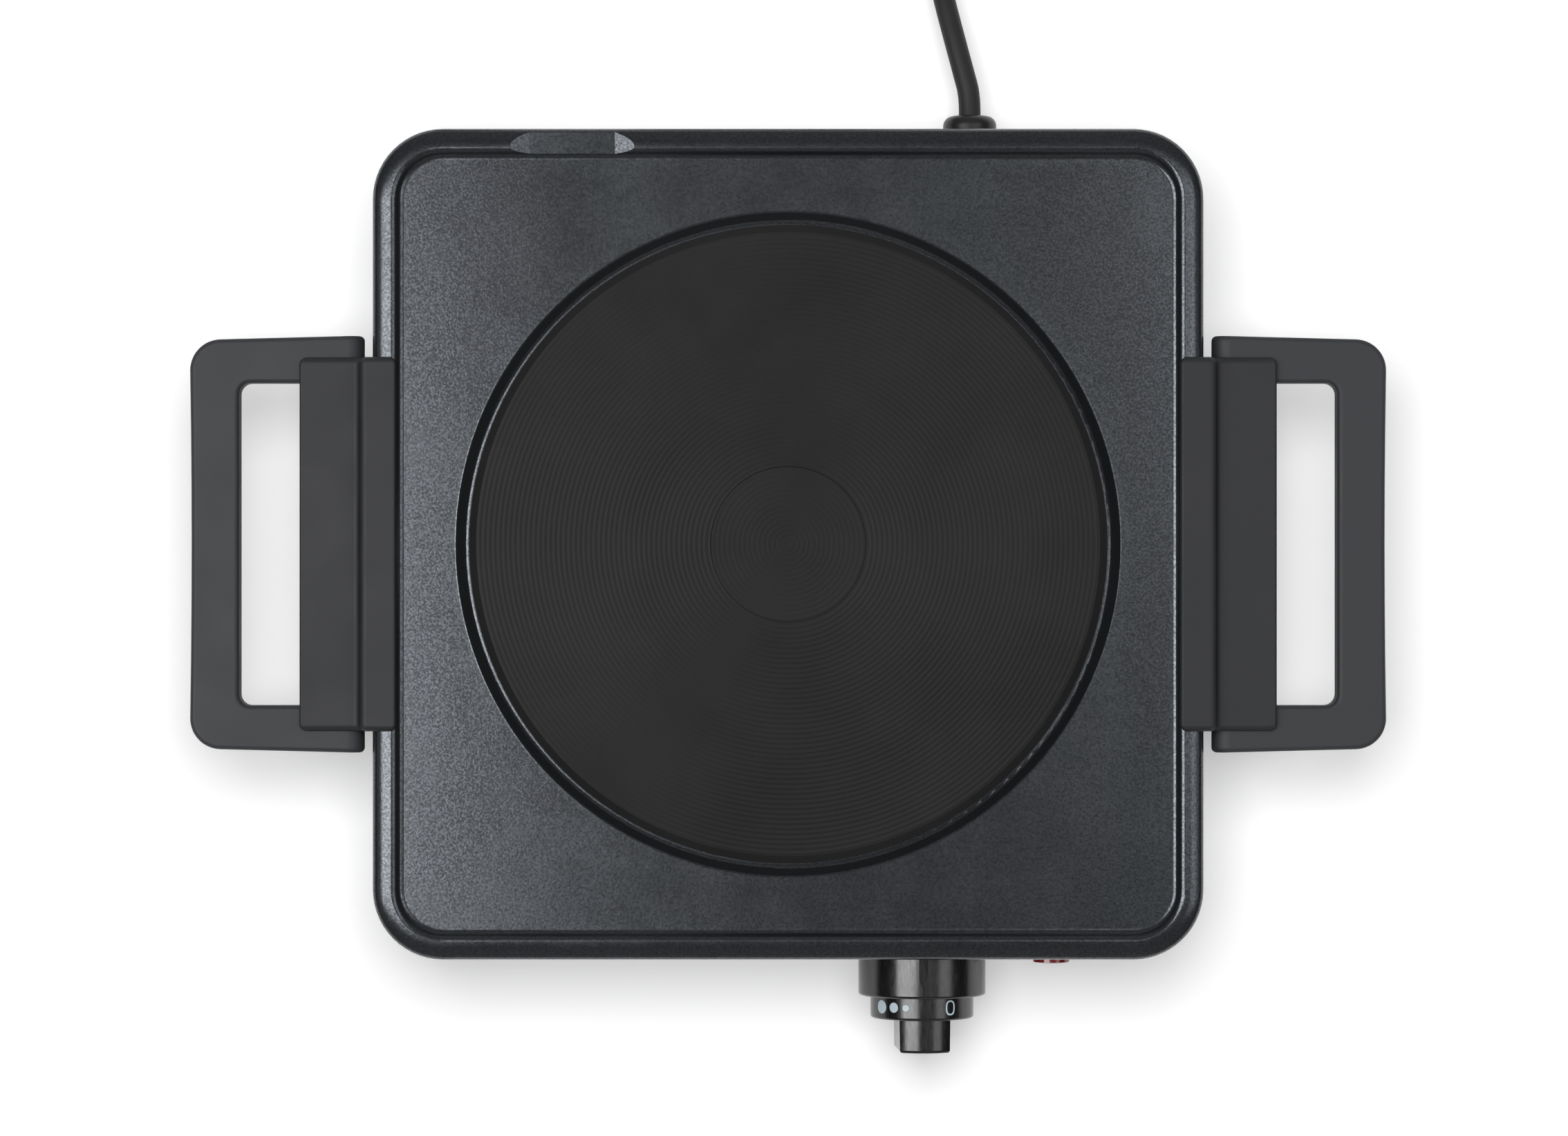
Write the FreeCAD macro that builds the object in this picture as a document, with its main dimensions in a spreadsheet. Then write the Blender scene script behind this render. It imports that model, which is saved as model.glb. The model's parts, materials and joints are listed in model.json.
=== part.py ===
"""Single electric hot plate with folding side handles, in millimetres.

+Z is up, +X is the user's right and -Y faces the user. The origin is on the table, under the
middle of the outline without the mains cord, so the axis of the cooking plate stands at plate_y.
"""

import FreeCAD
import Part

import math
import os
from types import SimpleNamespace

import Sketcher

SIZES = [
    ("panel_margin", "28.4", "edge of the cast plate to the housing's wall"),
    ("corner_radius", "20.4", "outer corner of the housing in plan"),
    ("metal", "1", "thickness of the pressed steel"),
    ("ground_gap", "8", "table to the lower edge of the housing"),
    ("wall_height", "58", "lower edge of the housing to the crest of its rim"),
    ("rim_edge_radius", "2.8", "outer edge of the raised rim"),
    ("rim_crest_radius", "8.2", "crest of the raised rim, outside its highest line"),
    ("rim_edge_angle", "30", "tilt of the rim where its edge meets its crest"),
    ("rim_inner_radius", "2.1", "inner round of the raised rim"),
    ("rim_foot_radius", "2.1", "fillet from the rim down to the panel"),
    ("rim_slope", "60", "steepest angle of the rim's inner side"),
    ("rim_land", "2", "flat strip of panel inside the rim"),
    ("flange_corner", "5", "corner of the opening inside the flange"),
    ("notch_x", "-62.6", "middle of the spill notch in the rear rim"),
    ("notch_width", "24.8", "flat floor of the spill notch"),
    ("notch_depth", "1.2", "rim crest to the floor of the notch"),
    ("notch_slope", "12", "angle of the notch's ends"),
    ("collar_margin", "0.4", "edge of the cast plate to the edge of its raised seat"),
    ("collar_height", "4.5", "panel to the raised seat"),
    ("collar_crest_radius", "1.5", "round at the top of the collar"),
    ("collar_foot_radius", "0.8", "fillet at the foot of the collar"),
    ("collar_slope", "57", "angle of the collar's side"),
    ("collar_land", "2.5", "flat strip of panel round the collar"),
    ("seat_room", "2", "thick part of the plate to the hole in the seat"),
    ("cover_inset", "1.5", "housing edge to the edge of the base cover"),
    ("slot_length", "38", "vent slot in the base cover"),
    ("slot_width", "4", "vent slot in the base cover"),
    ("slot_pitch", "14", "vent slot to vent slot"),
    ("slot_row_y", "34", "axis of the plate to each row of vent slots"),
    ("foot_side_inset", "22", "housing edge to a foot, left and right"),
    ("foot_inset", "12", "housing edge to a foot, front and back"),
    ("foot_radius", "9", "rubber foot where it meets the base cover"),
    ("foot_tip_radius", "8", "rubber foot on the table"),
    ("foot_well_radius", "4.4", "well for the screw head in a foot"),
    ("foot_well_depth", "3.6", "well for the screw head in a foot"),
    ("screw_radius", "2", "shank of every M4 screw"),
    ("screw_head_radius", "3.7", "head of every M4 screw"),
    ("screw_head_height", "2.4", "head of every M4 screw"),
    ("screw_hole_clearance", "0.15", "radial room round an M4 screw"),
    ("nut_radius", "4", "M4 nut over its corners"),
    ("nut_height", "3.2", "M4 nut"),
    ("thread_room", "0.03", "radial room in a thread"),
    ("plate_radius", "92.2", "cast plate over its edge"),
    ("plate_bevel_width", "2.2", "width of the bevel round the cooking face"),
    ("plate_rise", "4.2", "seat to the cooking face"),
    ("plate_bevel_drop", "2.1", "height of the bevel round the cooking face"),
    ("plate_recess_radius", "22.5", "shallow recess in the middle of the plate"),
    ("plate_recess_depth", "0.3", "shallow recess in the middle of the plate"),
    ("plate_ledge", "10.2", "edge of the plate that lies on the seat"),
    ("plate_boss_depth", "12", "seat to the underside of the plate"),
    ("plate_slab_depth", "4", "seat to the roof of the heater channel"),
    ("channel_wall", "5", "outer wall of the heater channel"),
    ("hub_ring_wall", "4", "inner wall of the heater channel"),
    ("hub_ring_radius", "26", "inner face of the ring inside the channel"),
    ("hub_radius", "9", "boss for the stud"),
    ("ribbon_inset", "13", "wall of the channel to the middle of the nearer heater ring"),
    ("ribbon_width", "5", "heater ring"),
    ("ribbon_depth", "4", "heater ring"),
    ("bed_gap", "0.2", "room round the heater bed"),
    ("thin_metal", "0.8", "element cover and heat shield"),
    ("stud_radius", "3", "M6 stud under the plate"),
    ("stud_end", "2.2", "stud below its lower nut"),
    ("stud_nut_radius", "5.8", "M6 nut over its corners"),
    ("stud_nut_height", "5", "M6 nut"),
    ("washer_radius", "8", "washer under the strap"),
    ("washer_height", "1.2", "washer under the strap"),
    ("strap_width", "20", "clamp strap"),
    ("strap_metal", "2", "clamp strap"),
    ("strap_foot", "6", "end of the strap that bears on the seat from below"),
    ("strap_room", "0.8", "plate boss to a leg of the strap"),
    ("shield_inset", "2", "edge of the element cover to the edge of the heat shield"),
    ("shield_lip", "5", "upturned edge of the heat shield"),
    ("knob_x", "39.6", "axis of the plate to the knob"),
    ("knob_drop", "32", "crest of the rim to the knob's axis"),
    ("knob_turn", "3.5", "clockwise turn of the grip from upright, as photographed"),
    ("bezel_radius", "18.8", "fixed ring behind the knob"),
    ("bezel_depth", "12.4", "fixed ring behind the knob"),
    ("bezel_web", "2.5", "back of the fixed ring"),
    ("bezel_round", "0.8", "front edge of the fixed ring"),
    ("pointer_width", "2.6", "engraved pointer on the fixed ring"),
    ("pointer_shank", "5.5", "parallel part of the pointer"),
    ("pointer_length", "9", "wall to the pointer's tip"),
    ("pointer_depth", "0.5", "engraved pointer on the fixed ring"),
    ("dial_radius", "15.25", "turning dial of the knob"),
    ("dial_proud", "6.7", "fixed ring to the front of the dial"),
    ("dial_gap", "0.35", "radial room between dial and fixed ring"),
    ("dial_back_gap", "1.5", "back of the fixed ring to the dial"),
    ("dial_wall", "2", "wall of the hollow dial"),
    ("dial_round", "0.8", "front edge of the dial"),
    ("grip_depth", "9.8", "dial to the front of the grip"),
    ("grip_radius", "12.6", "round ends of the grip"),
    ("grip_width", "15", "grip across its flats at the dial"),
    ("grip_tip_width", "14.7", "grip across its flats at the front"),
    ("grip_round", "0.9", "front edge of the grip"),
    ("knob_hub_radius", "6", "hub of the knob round the spindle"),
    ("hub_gap", "0.7", "front of the bush to the knob's hub"),
    ("spindle_radius", "3", "thermostat spindle"),
    ("spindle_flat", "1.5", "axis to the flat on the spindle"),
    ("spindle_end", "22", "wall to the front of the spindle"),
    ("spindle_depth", "12", "spindle inside the thermostat"),
    ("spindle_room", "0.05", "radial room round the spindle"),
    ("bush_radius", "5", "threaded bush of the thermostat"),
    ("bush_end", "8.6", "wall to the front of the bush"),
    ("bush_flange_radius", "8", "flange of the bush behind the wall"),
    ("bush_flange", "2", "flange of the bush behind the wall"),
    ("bush_nut_radius", "8", "nut on the bush over its corners"),
    ("bush_nut_height", "3", "nut on the bush"),
    ("thermostat_width", "30", "ceramic thermostat"),
    ("thermostat_height", "26", "ceramic thermostat"),
    ("thermostat_depth", "24", "ceramic thermostat"),
    ("thermostat_round", "2", "edges of the ceramic thermostat"),
    ("sensor_width", "12", "sensing strip from the thermostat to the plate"),
    ("sensor_metal", "1", "sensing strip from the thermostat to the plate"),
    ("sensor_reach", "57", "thermostat front to the end of the strip"),
    ("lens_x", "77.8", "axis of the plate to the pilot lens"),
    ("lens_radius", "5.4", "pilot lens"),
    ("lens_proud", "3.4", "wall to the front of the lens"),
    ("lens_dome", "0.7", "rise of the lens's domed front"),
    ("lens_flange_radius", "7.3", "lens behind the wall"),
    ("lens_flange", "1.6", "lens behind the wall"),
    ("lens_bore_radius", "3.6", "hollow of the lens"),
    ("lens_skin", "1.2", "front wall of the lens"),
    ("lamp_radius", "3", "neon lamp"),
    ("lamp_length", "15", "neon lamp"),
    ("holder_depth", "16", "lamp holder behind the lens"),
    ("gland_x", "54.2", "axis of the plate to the cord"),
    ("gland_z", "21", "table to the cord where it leaves"),
    ("gland_radius", "7.95", "strain relief outside the wall"),
    ("gland_head", "7.2", "strain relief outside the wall"),
    ("gland_round", "2.9", "outer edge of the strain relief"),
    ("gland_neck_radius", "6.3", "strain relief in the wall"),
    ("gland_tail", "3", "strain relief behind the wall"),
    ("fit_room", "0.1", "radial room of parts that push into the wall"),
    ("cord_radius", "3.25", "mains cord"),
    ("cord_inside", "20", "sheath of the cord behind the wall"),
    ("handle_reach", "53.5", "housing wall to the outer edge of a handle"),
    ("handle_root_width", "121.4", "handle at its hinge"),
    ("handle_taper", "1.3", "each side of the handle, from hinge to outer edge"),
    ("handle_thickness", "10", "handle"),
    ("handle_hollow", "0.6", "inward bow of the handle's outer edge"),
    ("handle_corner", "9", "outer corners of the handle"),
    ("handle_round", "1.5", "edges of the handle"),
    ("grip_bar", "14.4", "bar that the fingers hold"),
    ("window_width", "93.8", "finger opening along the bar"),
    ("window_corner", "3.3", "corner of the finger opening"),
    ("hinge_gap", "0.4", "room between a handle and its bracket"),
    ("bracket_length", "108.4", "handle bracket along the wall"),
    ("bracket_seat_gap", "0.1", "bracket to the housing"),
    ("bracket_strip", "2.8", "bracket above the crest of the rim"),
    ("bracket_back", "2.3", "bracket beside the wall"),
    ("bracket_hook", "45", "angle by which the bracket wraps over the rim"),
    ("bracket_overhang", "3.4", "wall to the outer face of the raised strip"),
    ("bracket_round", "2", "outer edge of the raised strip and its foot"),
    ("bracket_nose", "0.8", "small rounds of the bracket"),
    ("bracket_corner", "2", "corners of the flap in plan"),
    ("flap_drop", "5", "raised strip to the flap"),
    ("flap_reach", "21.2", "wall to the outer edge of the flap"),
    ("flap_thickness", "2.4", "flap over the handle's arms"),
    ("skirt_height", "22", "back of the bracket below the flap"),
    ("lug_width", "12", "hinge lug"),
    ("lug_relief", "0.3", "hinge lug below the handle's faces"),
    ("pin_radius", "2", "hinge pin"),
    ("pin_hold", "0.02", "radial room of the pin in the handle"),
    ("pin_run", "0.08", "radial room of the pin in the lug"),
    ("pin_inset", "0.6", "pin ends below the lug's and the arm's faces"),
    ("bracket_screw_y", "20", "axis of the plate to a bracket screw"),
    ("bracket_screw_drop", "13.5", "flap to a bracket screw"),
    ("block_x", "54", "axis of the plate to the terminal block"),
    ("block_y", "74", "axis of the plate to the terminal block"),
    ("block_length", "36", "terminal block"),
    ("block_width", "16", "terminal block"),
    ("block_height", "15", "terminal block"),
    ("terminal_pitch", "12", "terminal to terminal"),
    ("terminal_radius", "2.6", "terminal screw"),
    ("terminal_height", "1.5", "terminal screw"),
    ("bead_x", "20", "axis of the plate to its terminal bead"),
    ("bead_y", "34", "axis of the plate to its terminal bead"),
    ("bead_side", "12", "terminal bead under the plate"),
    ("bead_height", "5", "terminal bead under the plate"),
    ("wire_radius", "1.3", "insulated wire"),
    ("wire_bow", "13", "straight run of a wire before it turns"),
    ("coil_gap", "0.6", "cord to cord in the coil"),
    ("coil_inner_radius", "30.9", "innermost point of the coiled cord"),
    ("coil_turns", "3.25", "turns of the coiled cord"),
    ("tie_metal", "0.8", "band round the coiled cord"),
    ("tie_width", "9", "band round the coiled cord"),
    ("tie_room", "0.5", "band to the cord"),
    ("plug_radius", "18.7", "front of the plug"),
    ("plug_front", "12", "front disc of the plug"),
    ("plug_length", "48", "plug without its pins"),
    ("plug_grip_radius", "13.5", "grip of the plug"),
    ("plug_sleeve_radius", "5.4", "sleeve where the cord enters the plug"),
    ("plug_sleeve", "12", "sleeve where the cord enters the plug"),
    ("plug_pin_radius", "2.4", "plug pin"),
    ("plug_pin_length", "19", "plug pin"),
    ("plug_pin_spacing", "19", "plug pin to plug pin"),
    ("plug_pin_sunk", "5", "plug pin inside the plug"),
    ("earth_strip_width", "6", "side contact of the plug"),
    ("earth_strip_metal", "0.8", "side contact of the plug"),
]

SLOT_COUNT = 9
CLOCKWISE = -1
COUNTER_CLOCKWISE = 1
CUT_OVERLAP = 1.0

doc = FreeCAD.newDocument("HotPlate")
sheet = doc.addObject("Spreadsheet::Sheet", "Sizes")
nodes = []


class Size:
    """A length or angle that knows the spreadsheet expression it comes from."""

    def __init__(self, value, text):
        self.value = value
        self.text = text

    def __add__(self, other):
        other = as_size(other)
        return Size(self.value + other.value, f"({self.text} + {other.text})")

    def __sub__(self, other):
        other = as_size(other)
        return Size(self.value - other.value, f"({self.text} - {other.text})")

    def __mul__(self, other):
        other = as_size(other)
        return Size(self.value * other.value, f"({self.text} * {other.text})")

    def __truediv__(self, other):
        other = as_size(other)
        return Size(self.value / other.value, f"({self.text} / {other.text})")

    def __neg__(self):
        return Size(-self.value, f"(0 - {self.text})")

    def __rsub__(self, other):
        return as_size(other) - self

    __radd__ = __add__
    __rmul__ = __mul__


def as_size(number):
    return number if isinstance(number, Size) else Size(float(number), f"({float(number)})")


def sine(angle):
    return Size(math.sin(math.radians(angle.value)), f"sin({angle.text})")


def cosine(angle):
    return Size(math.cos(math.radians(angle.value)), f"cos({angle.text})")


def tangent(angle):
    return Size(math.tan(math.radians(angle.value)), f"tan({angle.text})")


def root(area):
    return Size(math.sqrt(area.value), f"sqrt({area.text})")


def read_sheet():
    for row, (alias, value, meaning) in enumerate(SIZES, start=1):
        sheet.set(f"A{row}", alias)
        sheet.set(f"B{row}", value)
        sheet.set(f"C{row}", meaning)
        sheet.setAlias(f"B{row}", alias)
    doc.recompute()
    return SimpleNamespace(**{alias: Size(float(sheet.get(alias)), f"Sizes.{alias}") for alias, _, _ in SIZES})


s = read_sheet()

# Heights and places that several pieces share
half = s.plate_radius + s.panel_margin
crest_z = s.ground_gap + s.wall_height
rim_round = s.rim_inner_radius + s.rim_foot_radius
rim_edge_x = half - s.rim_edge_radius * (1 - sine(s.rim_edge_angle))
rim_edge_z = crest_z - s.rim_crest_radius * (1 - cosine(s.rim_edge_angle))
rim_top_x = rim_edge_x - s.rim_crest_radius * sine(s.rim_edge_angle)
wall_top = rim_edge_z - s.rim_edge_radius * cosine(s.rim_edge_angle)
rim_zone = half - rim_top_x + rim_round * sine(s.rim_slope) + s.rim_land
panel_z = crest_z - rim_round * (1 - cosine(s.rim_slope))
seat_z = panel_z + s.collar_height
plate_top = seat_z + s.plate_rise
channel_roof = seat_z - s.plate_slab_depth
plate_low = seat_z - s.plate_boss_depth
cover_low = plate_low - s.thin_metal
strap_low = cover_low - s.strap_metal
stud_nut_top = strap_low - s.washer_height
shield_z = stud_nut_top - s.stud_nut_height - s.thin_metal
boss_radius = s.plate_radius - s.plate_ledge
channel_outer = boss_radius - s.channel_wall
channel_inner = s.hub_ring_radius + s.hub_ring_wall
shield_radius = boss_radius - s.shield_inset
collar_radius = s.plate_radius + s.collar_margin
foot_x = half - s.foot_side_inset
foot_y = half - s.foot_inset
foot_top = s.ground_gap - s.metal
screw_hole = s.screw_radius + s.screw_hole_clearance
dial_front = s.bezel_depth + s.dial_proud
knob_reach = half + dial_front + s.grip_depth
knob_z = crest_z - s.knob_drop
gland_reach = half + s.gland_head
plate_y = (knob_reach - gland_reach) / 2
strip_top = crest_z + s.bracket_seat_gap + s.bracket_strip
flap_top = strip_top - s.flap_drop
flap_low = flap_top - s.flap_thickness
back_x = half + s.bracket_seat_gap + s.bracket_back
pivot_x = back_x + s.hinge_gap + s.handle_thickness / 2
pivot_z = flap_low - s.hinge_gap - s.handle_thickness / 2
lug_outer = s.window_width / 2 - s.hinge_gap
bracket_screw_z = flap_low - s.bracket_screw_drop
hub_start = s.bush_end + s.hub_gap
coil_pitch = 2 * s.cord_radius + s.coil_gap

X_AXIS = FreeCAD.Vector(1, 0, 0)
Y_AXIS = FreeCAD.Vector(0, 1, 0)
Z_AXIS = FreeCAD.Vector(0, 0, 1)
UPRIGHT = FreeCAD.Rotation()
HALF_TURN = FreeCAD.Rotation(Z_AXIS, 180)
TO_FRONT = FreeCAD.Rotation(X_AXIS, 90)
TO_BACK = FreeCAD.Rotation(X_AXIS, -90)
TO_RIGHT = FreeCAD.Rotation(Y_AXIS, 90)
TO_LEFT = FreeCAD.Rotation(Y_AXIS, -90)


def bind(obj, prop, size):
    obj.setExpression(prop, as_size(size).text)


def place(obj, x=0, y=0, z=0, rotation=UPRIGHT):
    """Place obj in the frame of the plate's axis, which stands at plate_y."""
    obj.Placement = FreeCAD.Placement(FreeCAD.Vector(), rotation)
    bind(obj, "Placement.Base.x", x)
    bind(obj, "Placement.Base.y", plate_y + y)
    bind(obj, "Placement.Base.z", z)
    return obj


def node(obj):
    nodes.append(obj)
    return obj


def new_body(name):
    return doc.addObject("PartDesign::Body", name)


def new_sketch(body, role, offset=None):
    sketch = body.newObject("Sketcher::SketchObject", f"{body.Name}_sketch")
    plane = next(item for item in body.Origin.OriginFeatures if item.Role == role)
    sketch.AttachmentSupport = [(plane, "")]
    sketch.MapMode = "FlatFace"
    if offset is not None:
        bind(sketch, "AttachmentOffset.Base.z", offset)
    return sketch


def limit(sketch, kind, geometry, size):
    """Add one dimension to a sketch and bind it to the sheet."""
    index = sketch.addConstraint(Sketcher.Constraint(kind, *geometry, size.value))
    bind(sketch, f"Constraints[{index}]", size)


def pin_point(sketch, geometry, position, x, y):
    limit(sketch, "DistanceX", (-1, 1, geometry, position), as_size(x))
    limit(sketch, "DistanceY", (-1, 1, geometry, position), as_size(y))


def arc_between(start, end, radius, turn):
    chord = end - start
    rise = math.sqrt(max(radius**2 - (chord.Length / 2) ** 2, 0))
    side = FreeCAD.Vector(-chord.y, chord.x, 0).normalize() * rise * turn
    centre = (start + end) * 0.5 + side
    ends = [start, end] if turn == COUNTER_CLOCKWISE else [end, start]
    first, last = (math.atan2(point.y - centre.y, point.x - centre.x) for point in ends)
    if last < first:
        last += 2 * math.pi
    return Part.ArcOfCircle(Part.Circle(centre, Z_AXIS, radius), first, last)


def draw_loop(sketch, steps):
    """Draw a closed loop of lines (x, y) and arcs (x, y, radius, turn), all bound to the sheet."""
    base = sketch.GeometryCount
    points = [FreeCAD.Vector(as_size(step[0]).value, as_size(step[1]).value, 0) for step in steps]
    ends = []
    for index, step in enumerate(steps):
        start, end = points[index - 1], points[index]
        if len(step) == 2:
            sketch.addGeometry(Part.LineSegment(start, end))
            ends.append((1, 2))
        else:
            radius, turn = step[2:]
            sketch.addGeometry(arc_between(start, end, radius.value, turn))
            ends.append((1, 2) if turn == COUNTER_CLOCKWISE else (2, 1))
    for index, step in enumerate(steps):
        after = (index + 1) % len(steps)
        joint = (base + index, ends[index][1], base + after, ends[after][0])
        sketch.addConstraint(Sketcher.Constraint("Coincident", *joint))
        pin_point(sketch, base + index, ends[index][1], step[0], step[1])
        if len(step) > 2:
            limit(sketch, "Radius", (base + index,), step[2])


def draw_circle(sketch, x, y, radius):
    centre = FreeCAD.Vector(as_size(x).value, as_size(y).value, 0)
    circle = sketch.addGeometry(Part.Circle(centre, Z_AXIS, radius.value))
    limit(sketch, "Radius", (circle,), radius)
    pin_point(sketch, circle, 3, x, y)


def rounded_rectangle(x, y, half_x, half_y, radius):
    left, right, front, back = x - half_x, x + half_x, y - half_y, y + half_y
    return [
        (right - radius, front),
        (right, front + radius, radius, COUNTER_CLOCKWISE),
        (right, back - radius),
        (right - radius, back, radius, COUNTER_CLOCKWISE),
        (left + radius, back),
        (left, back - radius, radius, COUNTER_CLOCKWISE),
        (left, front + radius),
        (left + radius, front, radius, COUNTER_CLOCKWISE),
    ]


def square(half_side, radius):
    centre = as_size(0)
    return rounded_rectangle(centre, centre, half_side, half_side, radius)


def pad(body, sketch, length, symmetric=False):
    feature = body.newObject("PartDesign::Pad", f"{body.Name}_pad")
    feature.Profile = sketch
    feature.Midplane = symmetric
    bind(feature, "Length", length)
    return feature


def pocket(body, sketch, length=None, flip=False):
    """Cut to a depth, or right through in both directions where no depth is given."""
    feature = body.newObject("PartDesign::Pocket", f"{body.Name}_pocket")
    feature.Profile = sketch
    if length is None:
        feature.Type = "ThroughAll"
        feature.Midplane = True
    else:
        feature.Reversed = flip
        bind(feature, "Length", length)
    return feature


def revolve(body, steps):
    """Turn a profile of (radius, height) steps about the body's Z axis."""
    sketch = new_sketch(body, "XZ_Plane")
    draw_loop(sketch, steps)
    feature = body.newObject("PartDesign::Revolution", f"{body.Name}_turn")
    feature.Profile = sketch
    feature.ReferenceAxis = (sketch, ["V_Axis"])
    feature.Angle = 360
    return feature


def turned(name, steps):
    body = new_body(name)
    revolve(body, steps)
    return body


def bored_disc(name, bore, radius, low, high):
    return turned(name, [(bore, low), (radius, low), (radius, high), (bore, high)])


def hex_nut(name, radius, height, bore):
    body = new_body(name)
    sketch = new_sketch(body, "XY_Plane")
    angles = [math.radians(60 * corner) for corner in range(6)]
    draw_loop(sketch, [(radius * math.cos(angle), radius * math.sin(angle)) for angle in angles])
    draw_circle(sketch, 0, 0, bore)
    pad(body, sketch, height)
    return body


def middle(edge):
    return edge.valueAt((edge.FirstParameter + edge.LastParameter) / 2)


def round_edges(body, radius, wanted):
    """Fillet the edges of the body's last feature that the test wants."""
    doc.recompute()
    base = body.Tip
    names = [f"Edge{index}" for index, edge in enumerate(base.Shape.Edges, start=1) if wanted(edge)]
    feature = body.newObject("PartDesign::Fillet", f"{body.Name}_round")
    feature.Base = (base, names)
    bind(feature, "Radius", radius)
    return feature


def near(one, other):
    return abs(one - other) < 1e-4


def group(name, members):
    """One node of several like solids."""
    compound = doc.addObject("Part::Compound", name)
    compound.Links = members
    return node(compound)


def drill(radius, x, y, z, rotation, length):
    """A cylinder to cut with, which starts CUT_OVERLAP before its place."""
    tool = doc.addObject("Part::Cylinder", "drill")
    bind(tool, "Radius", radius)
    bind(tool, "Height", length + 2 * CUT_OVERLAP)
    back = rotation.multVec(Z_AXIS) * -CUT_OVERLAP
    return place(tool, x + back.x, y + back.y, z + back.z, rotation)


# Housing


def rim_outside(gap):
    """The top of the wall and the outside of the rim up to its crest, gap outside the pressing."""
    edge, crest = s.rim_edge_radius + gap, s.rim_crest_radius + gap
    edge_x = rim_edge_x + gap * sine(s.rim_edge_angle)
    edge_z = rim_edge_z + gap * cosine(s.rim_edge_angle)
    return [
        (half + gap, wall_top),
        (edge_x, edge_z, edge, COUNTER_CLOCKWISE),
        (rim_top_x, crest_z + gap, crest, COUNTER_CLOCKWISE),
    ]


def rim_section(skin, low):
    """The wall and its rolled rim, skin below the outside, as one filled section."""
    slope_x, slope_z = sine(s.rim_slope), cosine(s.rim_slope)
    inner, foot = s.rim_inner_radius - skin, s.rim_foot_radius + skin
    inner_z = crest_z - s.rim_inner_radius
    return [
        (half - skin, low),
        *rim_outside(-skin),
        (rim_top_x - inner * slope_x, inner_z + inner * slope_z, inner, COUNTER_CLOCKWISE),
        (rim_top_x - rim_round * slope_x, panel_z - skin, foot, CLOCKWISE),
        (half - rim_zone, panel_z - skin),
        (half - rim_zone, low),
    ]


def collar_geometry():
    """Outer radius of the collar's foot fillet, from the slope between its two rounds."""
    rounds = s.collar_crest_radius + s.collar_foot_radius
    slant = (s.collar_height - rounds * (1 - cosine(s.collar_slope))) / sine(s.collar_slope)
    return collar_radius + rounds * sine(s.collar_slope) + slant * cosine(s.collar_slope)


collar_foot_x = collar_geometry()
collar_zone = collar_foot_x + s.collar_land


def collar_section(skin, low):
    slope_x, slope_z = sine(s.collar_slope), cosine(s.collar_slope)
    crest, foot = s.collar_crest_radius - skin, s.collar_foot_radius + skin
    return [
        (0, low),
        (collar_zone, low),
        (collar_zone, panel_z - skin),
        (collar_foot_x, panel_z - skin),
        (
            collar_foot_x - foot * slope_x,
            panel_z + s.collar_foot_radius - foot * slope_z,
            foot,
            CLOCKWISE,
        ),
        (collar_radius + crest * slope_x, seat_z - s.collar_crest_radius + crest * slope_z),
        (collar_radius, seat_z - skin, crest, COUNTER_CLOCKWISE),
        (0, seat_z - skin),
    ]


def notch_section(skin):
    floor = crest_z - s.notch_depth - skin
    top = crest_z + CUT_OVERLAP
    floor_half = s.notch_width / 2 + skin * tangent(s.notch_slope / 2)
    top_half = floor_half + (top - floor) / tangent(s.notch_slope)
    return [
        (s.notch_x - floor_half, floor),
        (s.notch_x + floor_half, floor),
        (s.notch_x + top_half, top),
        (s.notch_x - top_half, top),
    ]


def pressed_form(name, skin):
    """Everything under a surface that lies skin below the outside of the pressing."""
    body = new_body(name)
    low = s.ground_gap + skin
    path = new_sketch(body, "XY_Plane")
    draw_loop(path, square(half, s.corner_radius))
    section = new_sketch(body, "XZ_Plane")
    draw_loop(section, rim_section(skin, low))
    rim = body.newObject("PartDesign::AdditivePipe", f"{name}_rim")
    rim.Profile = section
    rim.Spine = (path, [f"Edge{index}" for index in range(1, 9)])
    field = new_sketch(body, "XY_Plane", low)
    draw_loop(field, square(half - rim_zone, s.corner_radius - rim_zone))
    draw_circle(field, 0, 0, collar_zone)
    pad(body, field, panel_z - skin - low)
    revolve(body, collar_section(skin, low))
    notch = new_sketch(body, "XZ_Plane", rim_zone - half)
    draw_loop(notch, notch_section(skin))
    pocket(body, notch, rim_zone + CUT_OVERLAP)
    return place(body)


def flange_opening():
    body = new_body("flange_opening")
    sketch = new_sketch(body, "XY_Plane", s.ground_gap - CUT_OVERLAP)
    draw_loop(sketch, square(half - (s.foot_inset + s.nut_radius), s.flange_corner))
    pad(body, sketch, s.metal + 2 * CUT_OVERLAP)
    return place(body)


def housing():
    tools = [
        pressed_form("housing_inside", s.metal),
        flange_opening(),
        drill(boss_radius + s.seat_room, 0, 0, seat_z - s.metal, UPRIGHT, s.metal),
        drill(s.bush_radius + s.fit_room, s.knob_x, -half, knob_z, TO_BACK, s.metal),
        drill(s.lens_radius + s.fit_room, s.lens_x, -half, knob_z, TO_BACK, s.metal),
        drill(s.gland_neck_radius + s.fit_room, s.gland_x, half, s.gland_z, TO_FRONT, s.metal),
    ]
    for side_x, rotation in ((half, TO_LEFT), (-half, TO_RIGHT)):
        for y in (s.bracket_screw_y, -s.bracket_screw_y):
            tools.append(drill(screw_hole, side_x, y, bracket_screw_z, rotation, s.metal))
    for x, y in foot_places():
        tools.append(drill(screw_hole, x, y, s.ground_gap, UPRIGHT, s.metal))
    removed = doc.addObject("Part::MultiFuse", "housing_removed")
    removed.Shapes = tools
    shell = doc.addObject("Part::Cut", "housing")
    shell.Base = pressed_form("housing_outside", as_size(0))
    shell.Tool = removed
    node(shell)


def foot_places():
    return [(x, y) for x in (-foot_x, foot_x) for y in (-foot_y, foot_y)]


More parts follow.
